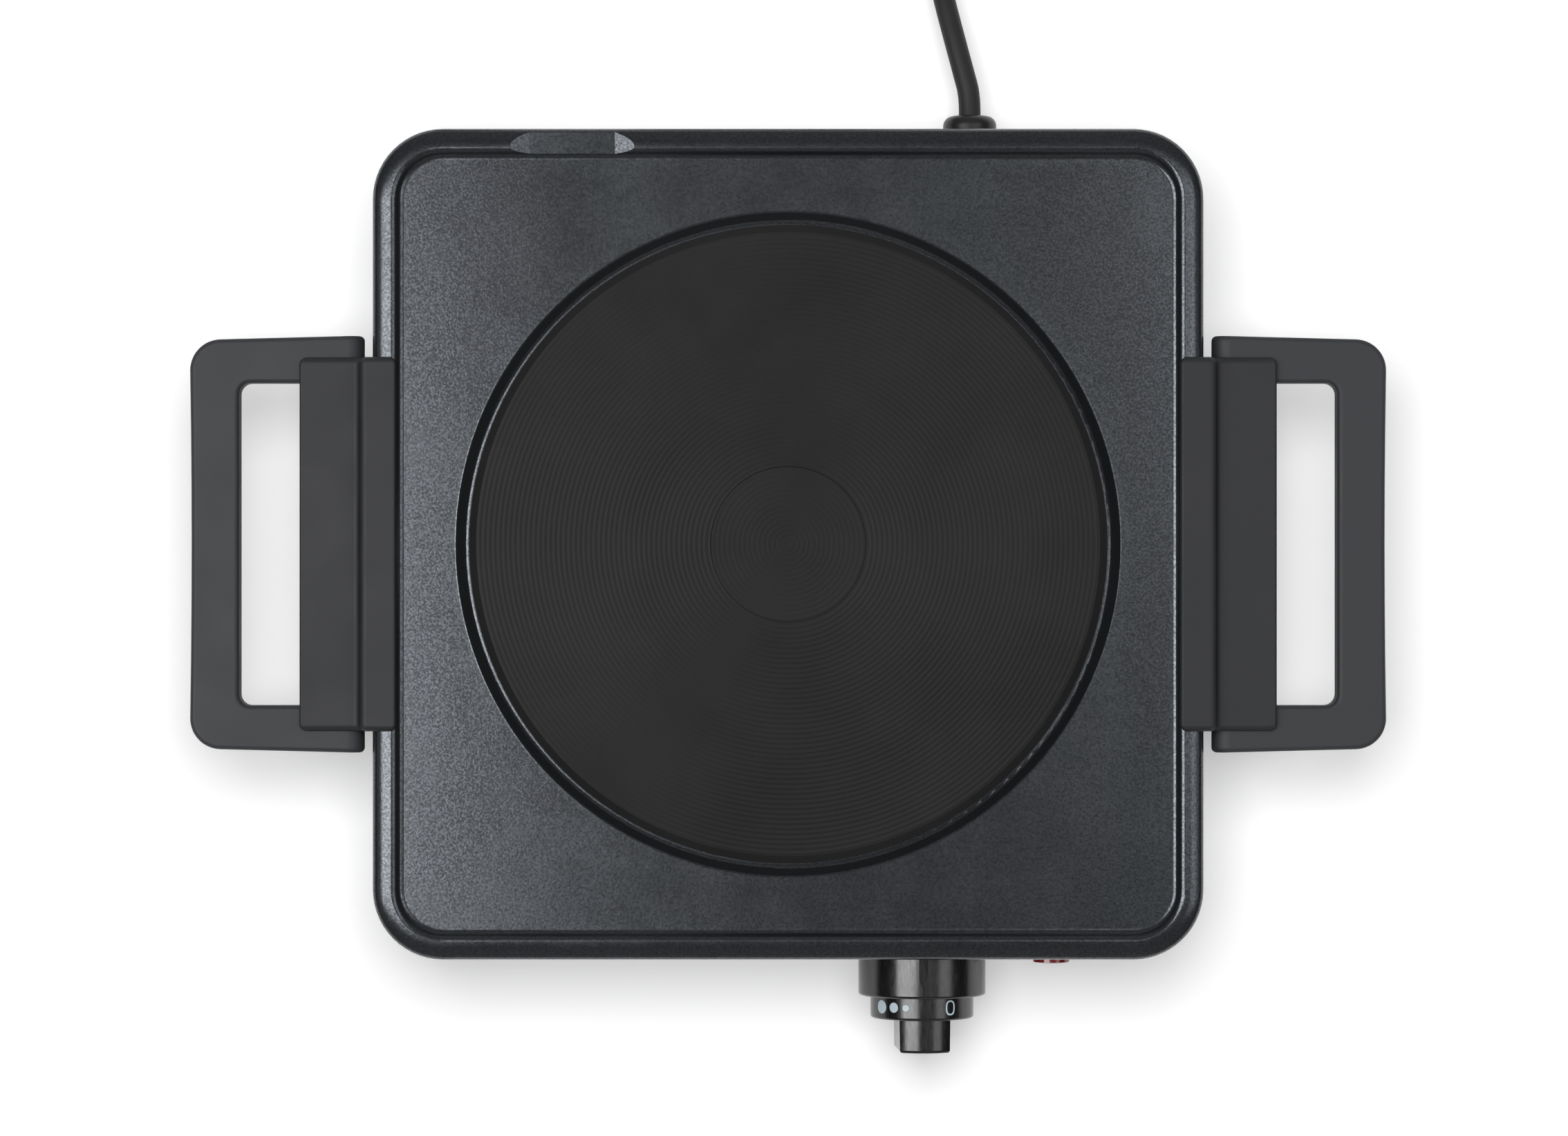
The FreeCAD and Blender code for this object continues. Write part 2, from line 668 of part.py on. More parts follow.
def base_cover():
    body = new_body("base_cover")
    outline = new_sketch(body, "XY_Plane", foot_top)
    draw_loop(outline, square(half - s.cover_inset, s.corner_radius - s.cover_inset))
    pad(body, outline, s.metal)
    holes = new_sketch(body, "XY_Plane")
    for x, y in foot_places():
        draw_circle(holes, x, y, screw_hole)
    pocket(body, holes)
    slots = new_sketch(body, "XY_Plane")
    first_x = -s.slot_pitch * (SLOT_COUNT - 1) / 2
    slot_round = s.slot_width * 0.4
    for row_y in (s.slot_row_y, -s.slot_row_y):
        draw_loop(slots, rounded_rectangle(first_x, row_y, s.slot_width / 2, s.slot_length / 2, slot_round))
    first = pocket(body, slots)
    row = body.newObject("PartDesign::LinearPattern", "base_cover_slots")
    row.Originals = [first]
    row.Direction = (slots, ["H_Axis"])
    bind(row, "Length", s.slot_pitch * (SLOT_COUNT - 1))
    row.Occurrences = SLOT_COUNT
    body.Tip = row
    node(place(body))


def feet():
    rubbers, screws, nuts = [], [], []
    screw_end = s.ground_gap + s.metal + s.nut_height + s.screw_radius / 2
    head_low = s.foot_well_depth - s.screw_head_height
    for x, y in foot_places():
        rubber = turned("foot", [
            (s.foot_well_radius, 0),
            (s.foot_tip_radius, 0),
            (s.foot_radius, foot_top),
            (screw_hole, foot_top),
            (screw_hole, s.foot_well_depth),
            (s.foot_well_radius, s.foot_well_depth),
        ])
        screw = turned("foot_screw", [
            (0, head_low),
            (s.screw_head_radius, head_low),
            (s.screw_head_radius, s.foot_well_depth),
            (s.screw_radius, s.foot_well_depth),
            (s.screw_radius, screw_end),
            (0, screw_end),
        ])
        nut = hex_nut("foot_nut", s.nut_radius, s.nut_height, s.screw_radius + s.thread_room)
        rubbers.append(place(rubber, x, y))
        screws.append(place(screw, x, y))
        nuts.append(place(nut, x, y, s.ground_gap + s.metal))
    group("feet", rubbers)
    group("foot_screws", screws)
    group("foot_nuts", nuts)


# Cooking plate and what holds it


def hot_plate():
    stud_hole = s.stud_radius + s.thread_room
    recess_floor = plate_top - s.plate_recess_depth
    node(place(turned("hot_plate", [
        (0, recess_floor),
        (0, channel_roof),
        (stud_hole, channel_roof),
        (stud_hole, plate_low),
        (s.hub_radius, plate_low),
        (s.hub_radius, channel_roof),
        (s.hub_ring_radius, channel_roof),
        (s.hub_ring_radius, plate_low),
        (channel_inner, plate_low),
        (channel_inner, channel_roof),
        (channel_outer, channel_roof),
        (channel_outer, plate_low),
        (boss_radius, plate_low),
        (boss_radius, seat_z),
        (s.plate_radius, seat_z),
        (s.plate_radius, plate_top - s.plate_bevel_drop),
        (s.plate_radius - s.plate_bevel_width, plate_top),
        (s.plate_recess_radius, plate_top),
        (s.plate_recess_radius - s.plate_recess_depth, recess_floor),
    ])))


def heater():
    groove_low = channel_roof - s.ribbon_depth
    groove_half = s.ribbon_width / 2 + s.bed_gap
    means = (channel_outer - s.ribbon_inset, channel_inner + s.ribbon_inset)
    steps = [(channel_inner + s.bed_gap, plate_low), (channel_outer - s.bed_gap, plate_low)]
    steps.append((channel_outer - s.bed_gap, channel_roof))
    for mean in means:
        steps.append((mean + groove_half, channel_roof))
        steps.append((mean + groove_half, groove_low))
        steps.append((mean - groove_half, groove_low))
        steps.append((mean - groove_half, channel_roof))
    steps.append((channel_inner + s.bed_gap, channel_roof))
    node(place(turned("insulation_bed", steps)))
    rings = []
    for mean in means:
        inner, outer = mean - s.ribbon_width / 2, mean + s.ribbon_width / 2
        rings.append(place(bored_disc("heater_ring", inner, outer, groove_low, channel_roof)))
    group("heater_rings", rings)
    cover_hole = s.stud_radius + s.screw_hole_clearance
    node(place(bored_disc("element_cover", cover_hole, boss_radius, cover_low, plate_low)))


def plate_clamp():
    stud_low = shield_z - s.stud_nut_height - s.stud_end
    stud_room = s.stud_radius + s.screw_hole_clearance
    node(place(turned("plate_stud", [
        (0, stud_low),
        (s.stud_radius, stud_low),
        (s.stud_radius, channel_roof),
        (0, channel_roof),
    ])))
    strap = new_body("clamp_strap")
    seat_low = seat_z - s.metal
    foot_low = seat_low - s.strap_metal
    leg_in = boss_radius + s.strap_room
    leg_out = leg_in + s.strap_metal
    foot_end = leg_out + s.strap_foot
    profile = new_sketch(strap, "XZ_Plane")
    draw_loop(profile, [
        (foot_end, seat_low),
        (leg_in, seat_low),
        (leg_in, cover_low),
        (-leg_in, cover_low),
        (-leg_in, seat_low),
        (-foot_end, seat_low),
        (-foot_end, foot_low),
        (-leg_out, foot_low),
        (-leg_out, strap_low),
        (leg_out, strap_low),
        (leg_out, foot_low),
        (foot_end, foot_low),
    ])
    pad(strap, profile, s.strap_width, symmetric=True)
    hole = new_sketch(strap, "XY_Plane")
    draw_circle(hole, 0, 0, stud_room)
    pocket(strap, hole)
    node(place(strap))
    node(place(bored_disc("stud_washer", stud_room, s.washer_radius, stud_nut_top, strap_low)))
    nuts = []
    for top in (stud_nut_top, shield_z):
        nut = hex_nut("stud_nut", s.stud_nut_radius, s.stud_nut_height, s.stud_radius + s.thread_room)
        nuts.append(place(nut, 0, 0, top - s.stud_nut_height))
    group("stud_nuts", nuts)
    node(place(turned("heat_shield", [
        (stud_room, shield_z),
        (shield_radius, shield_z),
        (shield_radius, shield_z + s.shield_lip),
        (shield_radius - s.thin_metal, shield_z + s.shield_lip),
        (shield_radius - s.thin_metal, shield_z + s.thin_metal),
        (stud_room, shield_z + s.thin_metal),
    ])))


# Thermostat, knob and pilot light, each built outward from the front wall


def on_front(obj, x, turn=0):
    rotation = TO_FRONT.multiply(FreeCAD.Rotation(Z_AXIS, turn))
    return node(place(obj, x, -half, knob_z, rotation))


def thermostat():
    body_front = -s.metal - s.bush_flange
    body = new_body("thermostat_body")
    block = new_sketch(body, "XY_Plane", body_front - s.thermostat_depth)
    centre = as_size(0)
    sides = (s.thermostat_width / 2, s.thermostat_height / 2, s.thermostat_round)
    draw_loop(block, rounded_rectangle(centre, centre, *sides))
    pad(body, block, s.thermostat_depth)
    bore = new_sketch(body, "XY_Plane", body_front)
    spindle_bore = s.spindle_radius + s.spindle_room
    draw_circle(bore, 0, 0, spindle_bore)
    pocket(body, bore, s.spindle_depth)
    on_front(body, s.knob_x)
    on_front(turned("thermostat_bush", [
        (spindle_bore, body_front),
        (s.bush_flange_radius, body_front),
        (s.bush_flange_radius, -s.metal),
        (s.bush_radius, -s.metal),
        (s.bush_radius, s.bush_end),
        (spindle_bore, s.bush_end),
    ]), s.knob_x)
    nut = hex_nut("bush_nut", s.bush_nut_radius, s.bush_nut_height, s.bush_radius + s.thread_room)
    node(place(nut, s.knob_x, -half - s.bezel_web, knob_z, TO_FRONT))
    spindle = turned("thermostat_spindle", [
        (0, body_front - s.spindle_depth),
        (s.spindle_radius, body_front - s.spindle_depth),
        (s.spindle_radius, s.spindle_end),
        (0, s.spindle_end),
    ])
    flat = new_sketch(spindle, "XY_Plane", s.spindle_end)
    wide = 2 * s.spindle_radius
    draw_loop(flat, [(wide, s.spindle_flat), (wide, wide), (-wide, wide), (-wide, s.spindle_flat)])
    pocket(spindle, flat, s.spindle_end - hub_start)
    on_front(spindle, s.knob_x, -s.knob_turn.value)


def sensing_strip():
    body = new_body("sensing_strip")
    front = s.metal + s.bush_flange - half
    start = front + s.bush_flange
    lift_start = front + s.thermostat_depth - s.bush_flange
    end = front + s.sensor_reach
    lift_end = end - s.sensor_width
    low = knob_z + s.thermostat_height / 2
    high = cover_low - s.sensor_metal
    profile = new_sketch(body, "YZ_Plane", s.knob_x)
    draw_loop(profile, [
        (start, low),
        (lift_start, low),
        (lift_end, high),
        (end, high),
        (end, high + s.sensor_metal),
        (lift_end, high + s.sensor_metal),
        (lift_start, low + s.sensor_metal),
        (start, low + s.sensor_metal),
    ])
    pad(body, profile, s.sensor_width, symmetric=True)
    node(place(body))


def knob_bezel():
    body = turned("knob_bezel", [
        (s.bush_radius + s.fit_room, 0),
        (s.bezel_radius, 0),
        (s.bezel_radius, s.bezel_depth - s.bezel_round),
        (s.bezel_radius - s.bezel_round, s.bezel_depth, s.bezel_round, COUNTER_CLOCKWISE),
        (s.dial_radius + s.dial_gap, s.bezel_depth),
        (s.dial_radius + s.dial_gap, s.bezel_web),
        (s.bush_radius + s.fit_room, s.bezel_web),
    ])
    pointer = new_sketch(body, "XZ_Plane", -s.bezel_radius - CUT_OVERLAP)
    wide = s.pointer_width / 2
    nib = 2 * s.pointer_width
    draw_loop(pointer, [
        (wide, 0),
        (wide, s.pointer_shank),
        (0, s.pointer_length, nib, COUNTER_CLOCKWISE),
        (-wide, s.pointer_shank, nib, COUNTER_CLOCKWISE),
        (-wide, 0),
    ])
    pocket(body, pointer, s.pointer_depth + CUT_OVERLAP, flip=True)
    on_front(body, s.knob_x)


def grip_section(width, radius):
    side = width / 2
    corner = root(radius * radius - side * side)
    return [
        (side, corner),
        (-side, corner, radius, COUNTER_CLOCKWISE),
        (-side, -corner),
        (side, -corner, radius, COUNTER_CLOCKWISE),
    ]


def knob():
    dial_back = s.bezel_web + s.dial_back_gap
    dial_inside = dial_front - s.dial_wall
    grip_front = dial_front + s.grip_depth
    body = turned("knob", [
        (0, hub_start),
        (s.knob_hub_radius, hub_start),
        (s.knob_hub_radius, dial_inside),
        (s.dial_radius - s.dial_wall, dial_inside),
        (s.dial_radius - s.dial_wall, dial_back),
        (s.dial_radius, dial_back),
        (s.dial_radius, dial_front - s.dial_round),
        (s.dial_radius - s.dial_round, dial_front, s.dial_round, COUNTER_CLOCKWISE),
        (0, dial_front),
    ])
    root_sketch = new_sketch(body, "XY_Plane", dial_front)
    draw_loop(root_sketch, grip_section(s.grip_width, s.grip_radius))
    tip_sketch = new_sketch(body, "XY_Plane", grip_front)
    draw_loop(tip_sketch, grip_section(s.grip_tip_width, s.grip_radius))
    grip = body.newObject("PartDesign::AdditiveLoft", "knob_grip")
    grip.Profile = root_sketch
    grip.Sections = [tip_sketch]
    round_edges(body, s.grip_round, lambda edge: near(middle(edge).z, grip_front.value))
    bore = new_sketch(body, "XY_Plane", hub_start)
    bore_radius = s.spindle_radius + s.spindle_room
    flat_y = s.spindle_flat + s.spindle_room
    flat_x = root(bore_radius * bore_radius - flat_y * flat_y)
    draw_loop(bore, [
        (-flat_x, flat_y),
        (0, -bore_radius, bore_radius, COUNTER_CLOCKWISE),
        (flat_x, flat_y, bore_radius, COUNTER_CLOCKWISE),
    ])
    pocket(body, bore, s.spindle_end + s.spindle_room - hub_start, flip=True)
    on_front(body, s.knob_x, -s.knob_turn.value)


def pilot_light():
    flange_back = -s.metal - s.lens_flange
    shoulder = s.lens_proud - s.lens_dome
    dome = (s.lens_radius * s.lens_radius + s.lens_dome * s.lens_dome) / (2 * s.lens_dome)
    lens_inside = shoulder - s.lens_skin
    on_front(turned("pilot_lens", [
        (s.lens_bore_radius, flange_back),
        (s.lens_flange_radius, flange_back),
        (s.lens_flange_radius, -s.metal),
        (s.lens_radius, -s.metal),
        (s.lens_radius, shoulder),
        (0, s.lens_proud, dome, COUNTER_CLOCKWISE),
        (0, lens_inside),
        (s.lens_bore_radius, lens_inside),
    ]), s.lens_x)
    lamp_front = lens_inside - s.fit_room
    lamp_back = lamp_front - s.lamp_length
    on_front(turned("pilot_lamp", [
        (0, lamp_back),
        (s.lamp_radius, lamp_back),
        (s.lamp_radius, lamp_front - s.lamp_radius / 2),
        (s.lamp_radius / 2, lamp_front),
        (0, lamp_front),
    ]), s.lens_x)
    holder_back = flange_back - s.holder_depth
    on_front(turned("lamp_holder", [
        (0, holder_back),
        (s.lens_flange_radius, holder_back),
        (s.lens_flange_radius, flange_back),
        (s.lamp_radius + s.fit_room, flange_back),
        (s.lamp_radius + s.fit_room, lamp_back),
        (0, lamp_back),
    ]), s.lens_x)


# Folding handles


def bracket(name, rotation):
    body = new_body(name)
    gap = s.bracket_seat_gap
    inner_round = s.rim_inner_radius + gap
    hook_x = rim_top_x - inner_round * sine(s.bracket_hook)
    hook_z = crest_z - s.rim_inner_radius + inner_round * cosine(s.bracket_hook)
    strip_x = half + s.bracket_overhang
    flap_x = half + s.flap_reach
    nose, foot = s.bracket_nose, s.bracket_round
    lug_radius = s.handle_thickness / 2 - s.lug_relief
    profile = new_sketch(body, "XZ_Plane")
    draw_loop(profile, [
        (half + gap, flap_low - s.skirt_height),
        *rim_outside(gap),
        (hook_x, hook_z, inner_round, COUNTER_CLOCKWISE),
        (hook_x, strip_top - nose),
        (hook_x + nose, strip_top, nose, CLOCKWISE),
        (strip_x - foot, strip_top),
        (strip_x, strip_top - foot, foot, CLOCKWISE),
        (strip_x, flap_top + foot),
        (strip_x + foot, flap_top, foot, COUNTER_CLOCKWISE),
        (flap_x - nose, flap_top),
        (flap_x, flap_top - nose, nose, CLOCKWISE),
        (flap_x, flap_low),
        (back_x, flap_low),
        (back_x, flap_low - s.skirt_height),
    ])
    pad(body, profile, s.bracket_length, symmetric=True)
    for lug_end in (lug_outer, s.lug_width - lug_outer):
        lug = new_sketch(body, "XZ_Plane", -lug_end)
        draw_loop(lug, [
            (back_x - CUT_OVERLAP, pivot_z - lug_radius),
            (pivot_x, pivot_z - lug_radius),
            (pivot_x + lug_radius, pivot_z, lug_radius, COUNTER_CLOCKWISE),
            (pivot_x + lug_radius, flap_low + CUT_OVERLAP),
            (back_x - CUT_OVERLAP, flap_low + CUT_OVERLAP),
        ])
        pad(body, lug, s.lug_width)
    bore = new_sketch(body, "XZ_Plane")
    draw_circle(bore, pivot_x, pivot_z, s.pin_radius + s.pin_run)
    pocket(body, bore)
    holes = new_sketch(body, "YZ_Plane")
    for y in (s.bracket_screw_y, -s.bracket_screw_y):
        draw_circle(holes, y, bracket_screw_z, screw_hole)
    pocket(body, holes)

    def flap_corner(edge):
        point = middle(edge)
        upright = near(abs(edge.tangentAt(edge.FirstParameter).z), 1)
        return upright and near(point.x, flap_x.value)

    round_edges(body, s.bracket_corner, flap_corner)
    node(place(body, rotation=rotation))


def handle(name, rotation):
    body = new_body(name)
    thick = s.handle_thickness / 2
    outer_x = half + s.handle_reach
    root_x = pivot_x - thick
    root_half = s.handle_root_width / 2
    tip_half = root_half - s.handle_taper
    window_x = outer_x - s.grip_bar
    profile = new_sketch(body, "XZ_Plane")
    draw_loop(profile, [
        (outer_x, pivot_z - thick),
        (outer_x, pivot_z + thick),
        (pivot_x, pivot_z + thick),
        (root_x, pivot_z, thick, COUNTER_CLOCKWISE),
        (pivot_x, pivot_z - thick, thick, COUNTER_CLOCKWISE),
    ])
    pad(body, profile, s.handle_root_width, symmetric=True)
    bow = (tip_half * tip_half + s.handle_hollow * s.handle_hollow) / (2 * s.handle_hollow)
    trim = new_sketch(body, "XY_Plane")
    far_x, near_x, far_y = outer_x + thick, root_x - thick, root_half + thick
    draw_loop(trim, [(far_x, -far_y), (far_x, far_y), (near_x, far_y), (near_x, -far_y)])
    draw_loop(trim, [
        (outer_x, -tip_half),
        (outer_x, tip_half, bow, CLOCKWISE),
        (root_x, root_half),
        (root_x - CUT_OVERLAP, root_half),
        (root_x - CUT_OVERLAP, -root_half),
        (root_x, -root_half),
    ])
    pocket(body, trim)
    window = new_sketch(body, "XY_Plane")
    window_half = s.window_width / 2
    draw_loop(window, [
        (window_x, -window_half),
        (window_x, window_half),
        (near_x, window_half),
        (near_x, -window_half),
    ])
    pocket(body, window)

    def upright_at(x):
        return lambda edge: near(edge.tangentAt(edge.FirstParameter).z ** 2, 1) and near(middle(edge).x, x.value)

    round_edges(body, s.handle_corner, upright_at(outer_x))
    round_edges(body, s.window_corner, upright_at(window_x))
    faces = (pivot_z.value - thick.value, pivot_z.value + thick.value)

    def rim_of_a_face(edge):
        point = middle(edge)
        level = any(near(point.z, face) for face in faces)
        return level and not near(point.x, pivot_x.value)

    round_edges(body, s.handle_round, rim_of_a_face)
    bore = new_sketch(body, "XZ_Plane")
    draw_circle(bore, pivot_x, pivot_z, s.pin_radius + s.pin_hold)
    pocket(body, bore)
    node(place(body, rotation=rotation))


def hinge_pins(name, side):
    pins = []
    length = s.handle_root_width / 2 - lug_outer + s.lug_width - 2 * s.pin_inset
    start = lug_outer - s.lug_width + s.pin_inset
    for direction, rotation in ((1, TO_BACK), (-1, TO_FRONT)):
        pin = doc.addObject("Part::Cylinder", "hinge_pin")
        bind(pin, "Radius", s.pin_radius)
        bind(pin, "Height", length)
        pins.append(place(pin, pivot_x * side, start * direction, pivot_z, rotation))
    group(name, pins)


def bracket_fasteners():
    screws, nuts = [], []
    inner_end = -(s.bracket_back + s.bracket_seat_gap + s.metal + s.nut_height + s.screw_radius / 2)
    for side, outward in ((1, TO_RIGHT), (-1, TO_LEFT)):
        for y in (s.bracket_screw_y, -s.bracket_screw_y):
            screw = turned("bracket_screw", [
                (0, inner_end),
                (s.screw_radius, inner_end),
                (s.screw_radius, 0),
                (s.screw_head_radius, 0),
                (s.screw_head_radius, s.screw_head_height),
                (0, s.screw_head_height),
            ])
            screws.append(place(screw, back_x * side, y, bracket_screw_z, outward))
            nut = hex_nut("bracket_nut", s.nut_radius, s.nut_height, s.screw_radius + s.thread_room)
            nut_x = (half - s.metal - s.nut_height) * side
            nuts.append(place(nut, nut_x, y, bracket_screw_z, outward))
    group("bracket_screws", screws)
    group("bracket_nuts", nuts)


# Wiring inside the housing


def terminal_block():
    body = new_body("terminal_block")
    outline = new_sketch(body, "XY_Plane")
    centre = as_size(0)
    draw_loop(outline, rounded_rectangle(centre, centre, s.block_length / 2, s.block_width / 2, s.thermostat_round))
    pad(body, outline, s.block_height)
    node(place(body, s.block_x, s.block_y, s.ground_gap))
    screws = []
    block_top = s.ground_gap + s.block_height
    for step in (-1, 0, 1):
        screw = turned("terminal_screw", [
            (0, 0),
            (s.terminal_radius, 0),
            (s.terminal_radius, s.terminal_height),
            (0, s.terminal_height),
        ])
        screws.append(place(screw, s.block_x + s.terminal_pitch * step, s.block_y, block_top))
    group("terminal_screws", screws)
    bead = doc.addObject("Part::Box", "terminal_bead")
    bind(bead, "Length", s.bead_side)
    bind(bead, "Width", s.bead_side)
    bind(bead, "Height", s.bead_height)
    node(place(bead, s.bead_x - s.bead_side / 2, s.bead_y - s.bead_side / 2, cover_low - s.bead_height))


def strain_relief():
    bore = s.cord_radius + s.fit_room
    neck_back = -s.metal - s.gland_tail
    body = turned("strain_relief", [
        (bore, neck_back),
        (s.gland_radius, neck_back),
        (s.gland_radius, -s.metal),
        (s.gland_neck_radius, -s.metal),
        (s.gland_neck_radius, 0),
        (s.gland_radius, 0),
        (s.gland_radius, s.gland_head - s.gland_round),
        (s.gland_radius - s.gland_round, s.gland_head, s.gland_round, COUNTER_CLOCKWISE),
        (bore, s.gland_head),
    ])
    node(place(body, s.gland_x, half, s.gland_z, TO_BACK))
    sheath = doc.addObject("Part::Cylinder", "inner_cable")
    bind(sheath, "Radius", s.cord_radius)
    bind(sheath, "Height", s.gland_head + s.cord_inside)
    node(place(sheath, s.gland_x, gland_reach, s.gland_z, TO_FRONT))


def rounded_route(points):
    """Straight runs joined by tangent arcs, as the edges of one wire."""
    edges = []
    start = points[0]
    for before, corner, after in zip(points, points[1:], points[2:]):
        to_before, to_after = before - corner, after - corner
        inset = 0.45 * min(to_before.Length, to_after.Length)
        to_before.normalize()
        to_after.normalize()
        radius = inset * math.tan(to_before.getAngle(to_after) / 2)
        inward = (to_before + to_after).normalize()
        centre_distance = math.hypot(inset, radius)
        arc_start = corner + to_before * inset
        arc_end = corner + to_after * inset
        arc_middle = corner + inward * (centre_distance - radius)
        edges.append(Part.LineSegment(start, arc_start).toShape())
        edges.append(Part.Arc(arc_start, arc_middle, arc_end).toShape())
        start = arc_end
    edges.append(Part.LineSegment(start, points[-1]).toShape())
    return edges


def tube(name, edges, radius):
    """One solid tube along edges that follow each other without a kink."""
    route = Part.Wire(edges)
    start = edges[0]
    heading = start.tangentAt(start.FirstParameter)
    section = Part.Wire([Part.Circle(start.valueAt(start.FirstParameter), heading, radius.value).toShape()])
    feature = doc.addObject("Part::Feature", name)
    feature.Shape = route.makePipeShell([section], True, False)
    tightest = min((edge.Curve.Radius for edge in edges if hasattr(edge.Curve, "Radius")), default=0)
    fill = feature.Shape.Volume / (math.pi * radius.value**2 * route.Length)
    print(f"{name}: length {route.Length:.1f}, tightest bend {tightest:.1f}, fill {fill:.4f}")
    return feature


def wire_tube(name, route):
    """A wire through points given as sizes in the frame of the plate's axis."""
    points = [FreeCAD.Vector(*(as_size(value).value for value in point)) for point in route]
    return place(tube(name, rounded_route(points), s.wire_radius))


def wiring():
    block_back, block_front = s.block_y + s.block_width / 2, s.block_y - s.block_width / 2
    entry_z = s.ground_gap + s.block_height * 0.6
    sheath_end = half - s.cord_inside
    fan = (sheath_end + block_back) / 2
    cores = []
    for step, rise in ((-1, -1), (0, 1), (1, -1)):
        core_x = s.gland_x + s.wire_radius * 1.25 * step
        core_z = s.gland_z + s.wire_radius * 0.75 * rise
        clamp_x = s.block_x + s.terminal_pitch * step
        cores.append(wire_tube("cable_core", [
            (core_x, sheath_end, core_z),
            (core_x, fan + s.wire_bow / 4, core_z),
            (clamp_x, fan - s.wire_bow / 4, entry_z),
            (clamp_x, block_back, entry_z),
        ]))
    group("cable_cores", cores)
    thermostat_back = s.metal + s.bush_flange + s.thermostat_depth - half
    live_x, earth_x = s.block_x - s.terminal_pitch, s.block_x + s.terminal_pitch
    node(wire_tube("wire_live", [
        (live_x, block_front, entry_z),
        (live_x, block_front - s.wire_bow, entry_z),
        (s.knob_x + s.wire_bow, block_front / 3, entry_z - s.wire_radius),
        (s.knob_x + s.wire_bow, thermostat_back / 2, entry_z),
        (s.knob_x, thermostat_back + s.wire_bow, knob_z - 3 * s.wire_radius),
        (s.knob_x, thermostat_back, knob_z - 3 * s.wire_radius),
    ]))
    pass_z = (cover_low + shield_z + s.shield_lip) / 2
    under_z = strap_low - 2 * s.wire_radius
    heater_x = s.knob_x - s.thermostat_width / 3
    riser_x, riser_y = (shield_radius + 5 * s.wire_radius) * 0.68, (shield_radius + 5 * s.wire_radius) * 0.733
    bead_z = cover_low - s.bead_height / 2
    bead_front = s.bead_y - s.bead_side / 2
    node(wire_tube("wire_heater", [
        (heater_x, thermostat_back, knob_z + s.wire_radius),
        (heater_x, thermostat_back + s.wire_bow / 2, knob_z + s.wire_radius),
        (heater_x - s.wire_radius, thermostat_back + s.wire_bow / 3, pass_z),
        (heater_x - s.wire_bow / 2, s.wire_bow - shield_radius, pass_z),
        (s.bead_x + s.wire_radius, 2 * s.wire_bow - shield_radius, under_z),
        (s.bead_x, -s.strap_width, under_z),
        (s.bead_x, bead_front - s.wire_bow, under_z),
        (s.bead_x, bead_front - s.wire_bow / 3, bead_z),
        (s.bead_x, bead_front, bead_z),
    ]))
    node(wire_tube("wire_neutral", [
        (s.block_x, block_front, entry_z),
        (s.block_x, block_front - 3 * s.wire_radius, entry_z),
        (riser_x, riser_y - s.wire_radius, entry_z + s.wire_bow),
        (riser_x, riser_y, pass_z),
        (riser_x - s.wire_bow, riser_y - s.wire_bow / 2, pass_z),
        (s.bead_x + s.bead_side, s.bead_y + s.wire_radius, bead_z),
        (s.bead_x + s.bead_side / 2, s.bead_y + s.wire_radius, bead_z),
    ]))
    earth_z = shield_z - s.stud_nut_height - s.wire_radius
    node(wire_tube("wire_earth", [
        (earth_x, block_front, entry_z),
        (earth_x, block_front - s.wire_bow, entry_z),
        (earth_x - s.wire_bow, block_front / 2, entry_z + s.wire_radius),
        (2 * s.wire_bow, s.wire_bow / 2, (entry_z + earth_z) / 2 + s.wire_bow / 3),
        (s.wire_bow, 0, earth_z),
        (s.stud_radius, 0, earth_z),
    ]))
    leads = []
    holder_end = s.metal + s.lens_flange + s.holder_depth - half
    thermostat_side = s.knob_x + s.thermostat_width / 2
    for step in (-1, 1):
        lead_x = s.lens_x + 2 * s.wire_radius * step
        lead_z = knob_z + 4 * s.wire_radius * step
        leads.append(wire_tube("lamp_lead", [
            (lead_x, holder_end, knob_z),
            (lead_x, holder_end + s.wire_bow / 2, knob_z),
            (s.lens_x - s.wire_bow + s.wire_radius * step, holder_end + s.wire_bow, lead_z),
            (thermostat_side + s.wire_bow / 2, holder_end, lead_z),
            (thermostat_side, holder_end, lead_z),
        ]))
    group("lamp_leads", leads)


# Mains cord outside the housing: lead, coil on the table, tail and plug

# Offsets in x and y from the strain relief, and the share of the way down to the table
LEAD_STEPS = [
    (0, 0, 0),
    (0, 8.5, 0),
    (-2.8, 21.3, 0.06),
    (-6.6, 38.3, 0.33),
    (-10.8, 57.3, 0.73),
    (-15, 76.3, 1),
    (-18.65, 92.9, 1),
]

# Distance along the tail, and the share of the way up to the plug's axis
TAIL_STEPS = [(0, 0), (15, 0), (40, 1), (55, 1)]

CLIMB_TURNS = 0.5
TIE_TURN = 0.13
ROUND_TURN = 2 * math.pi
coil_z = s.cord_radius.value + s.tie_room.value + s.tie_metal.value


def lead_points():
    exit_z = s.gland_z.value
    return [
        FreeCAD.Vector(s.gland_x.value + x, gland_reach.value + y, exit_z + fall * (coil_z - exit_z))
        for x, y, fall in LEAD_STEPS
    ]


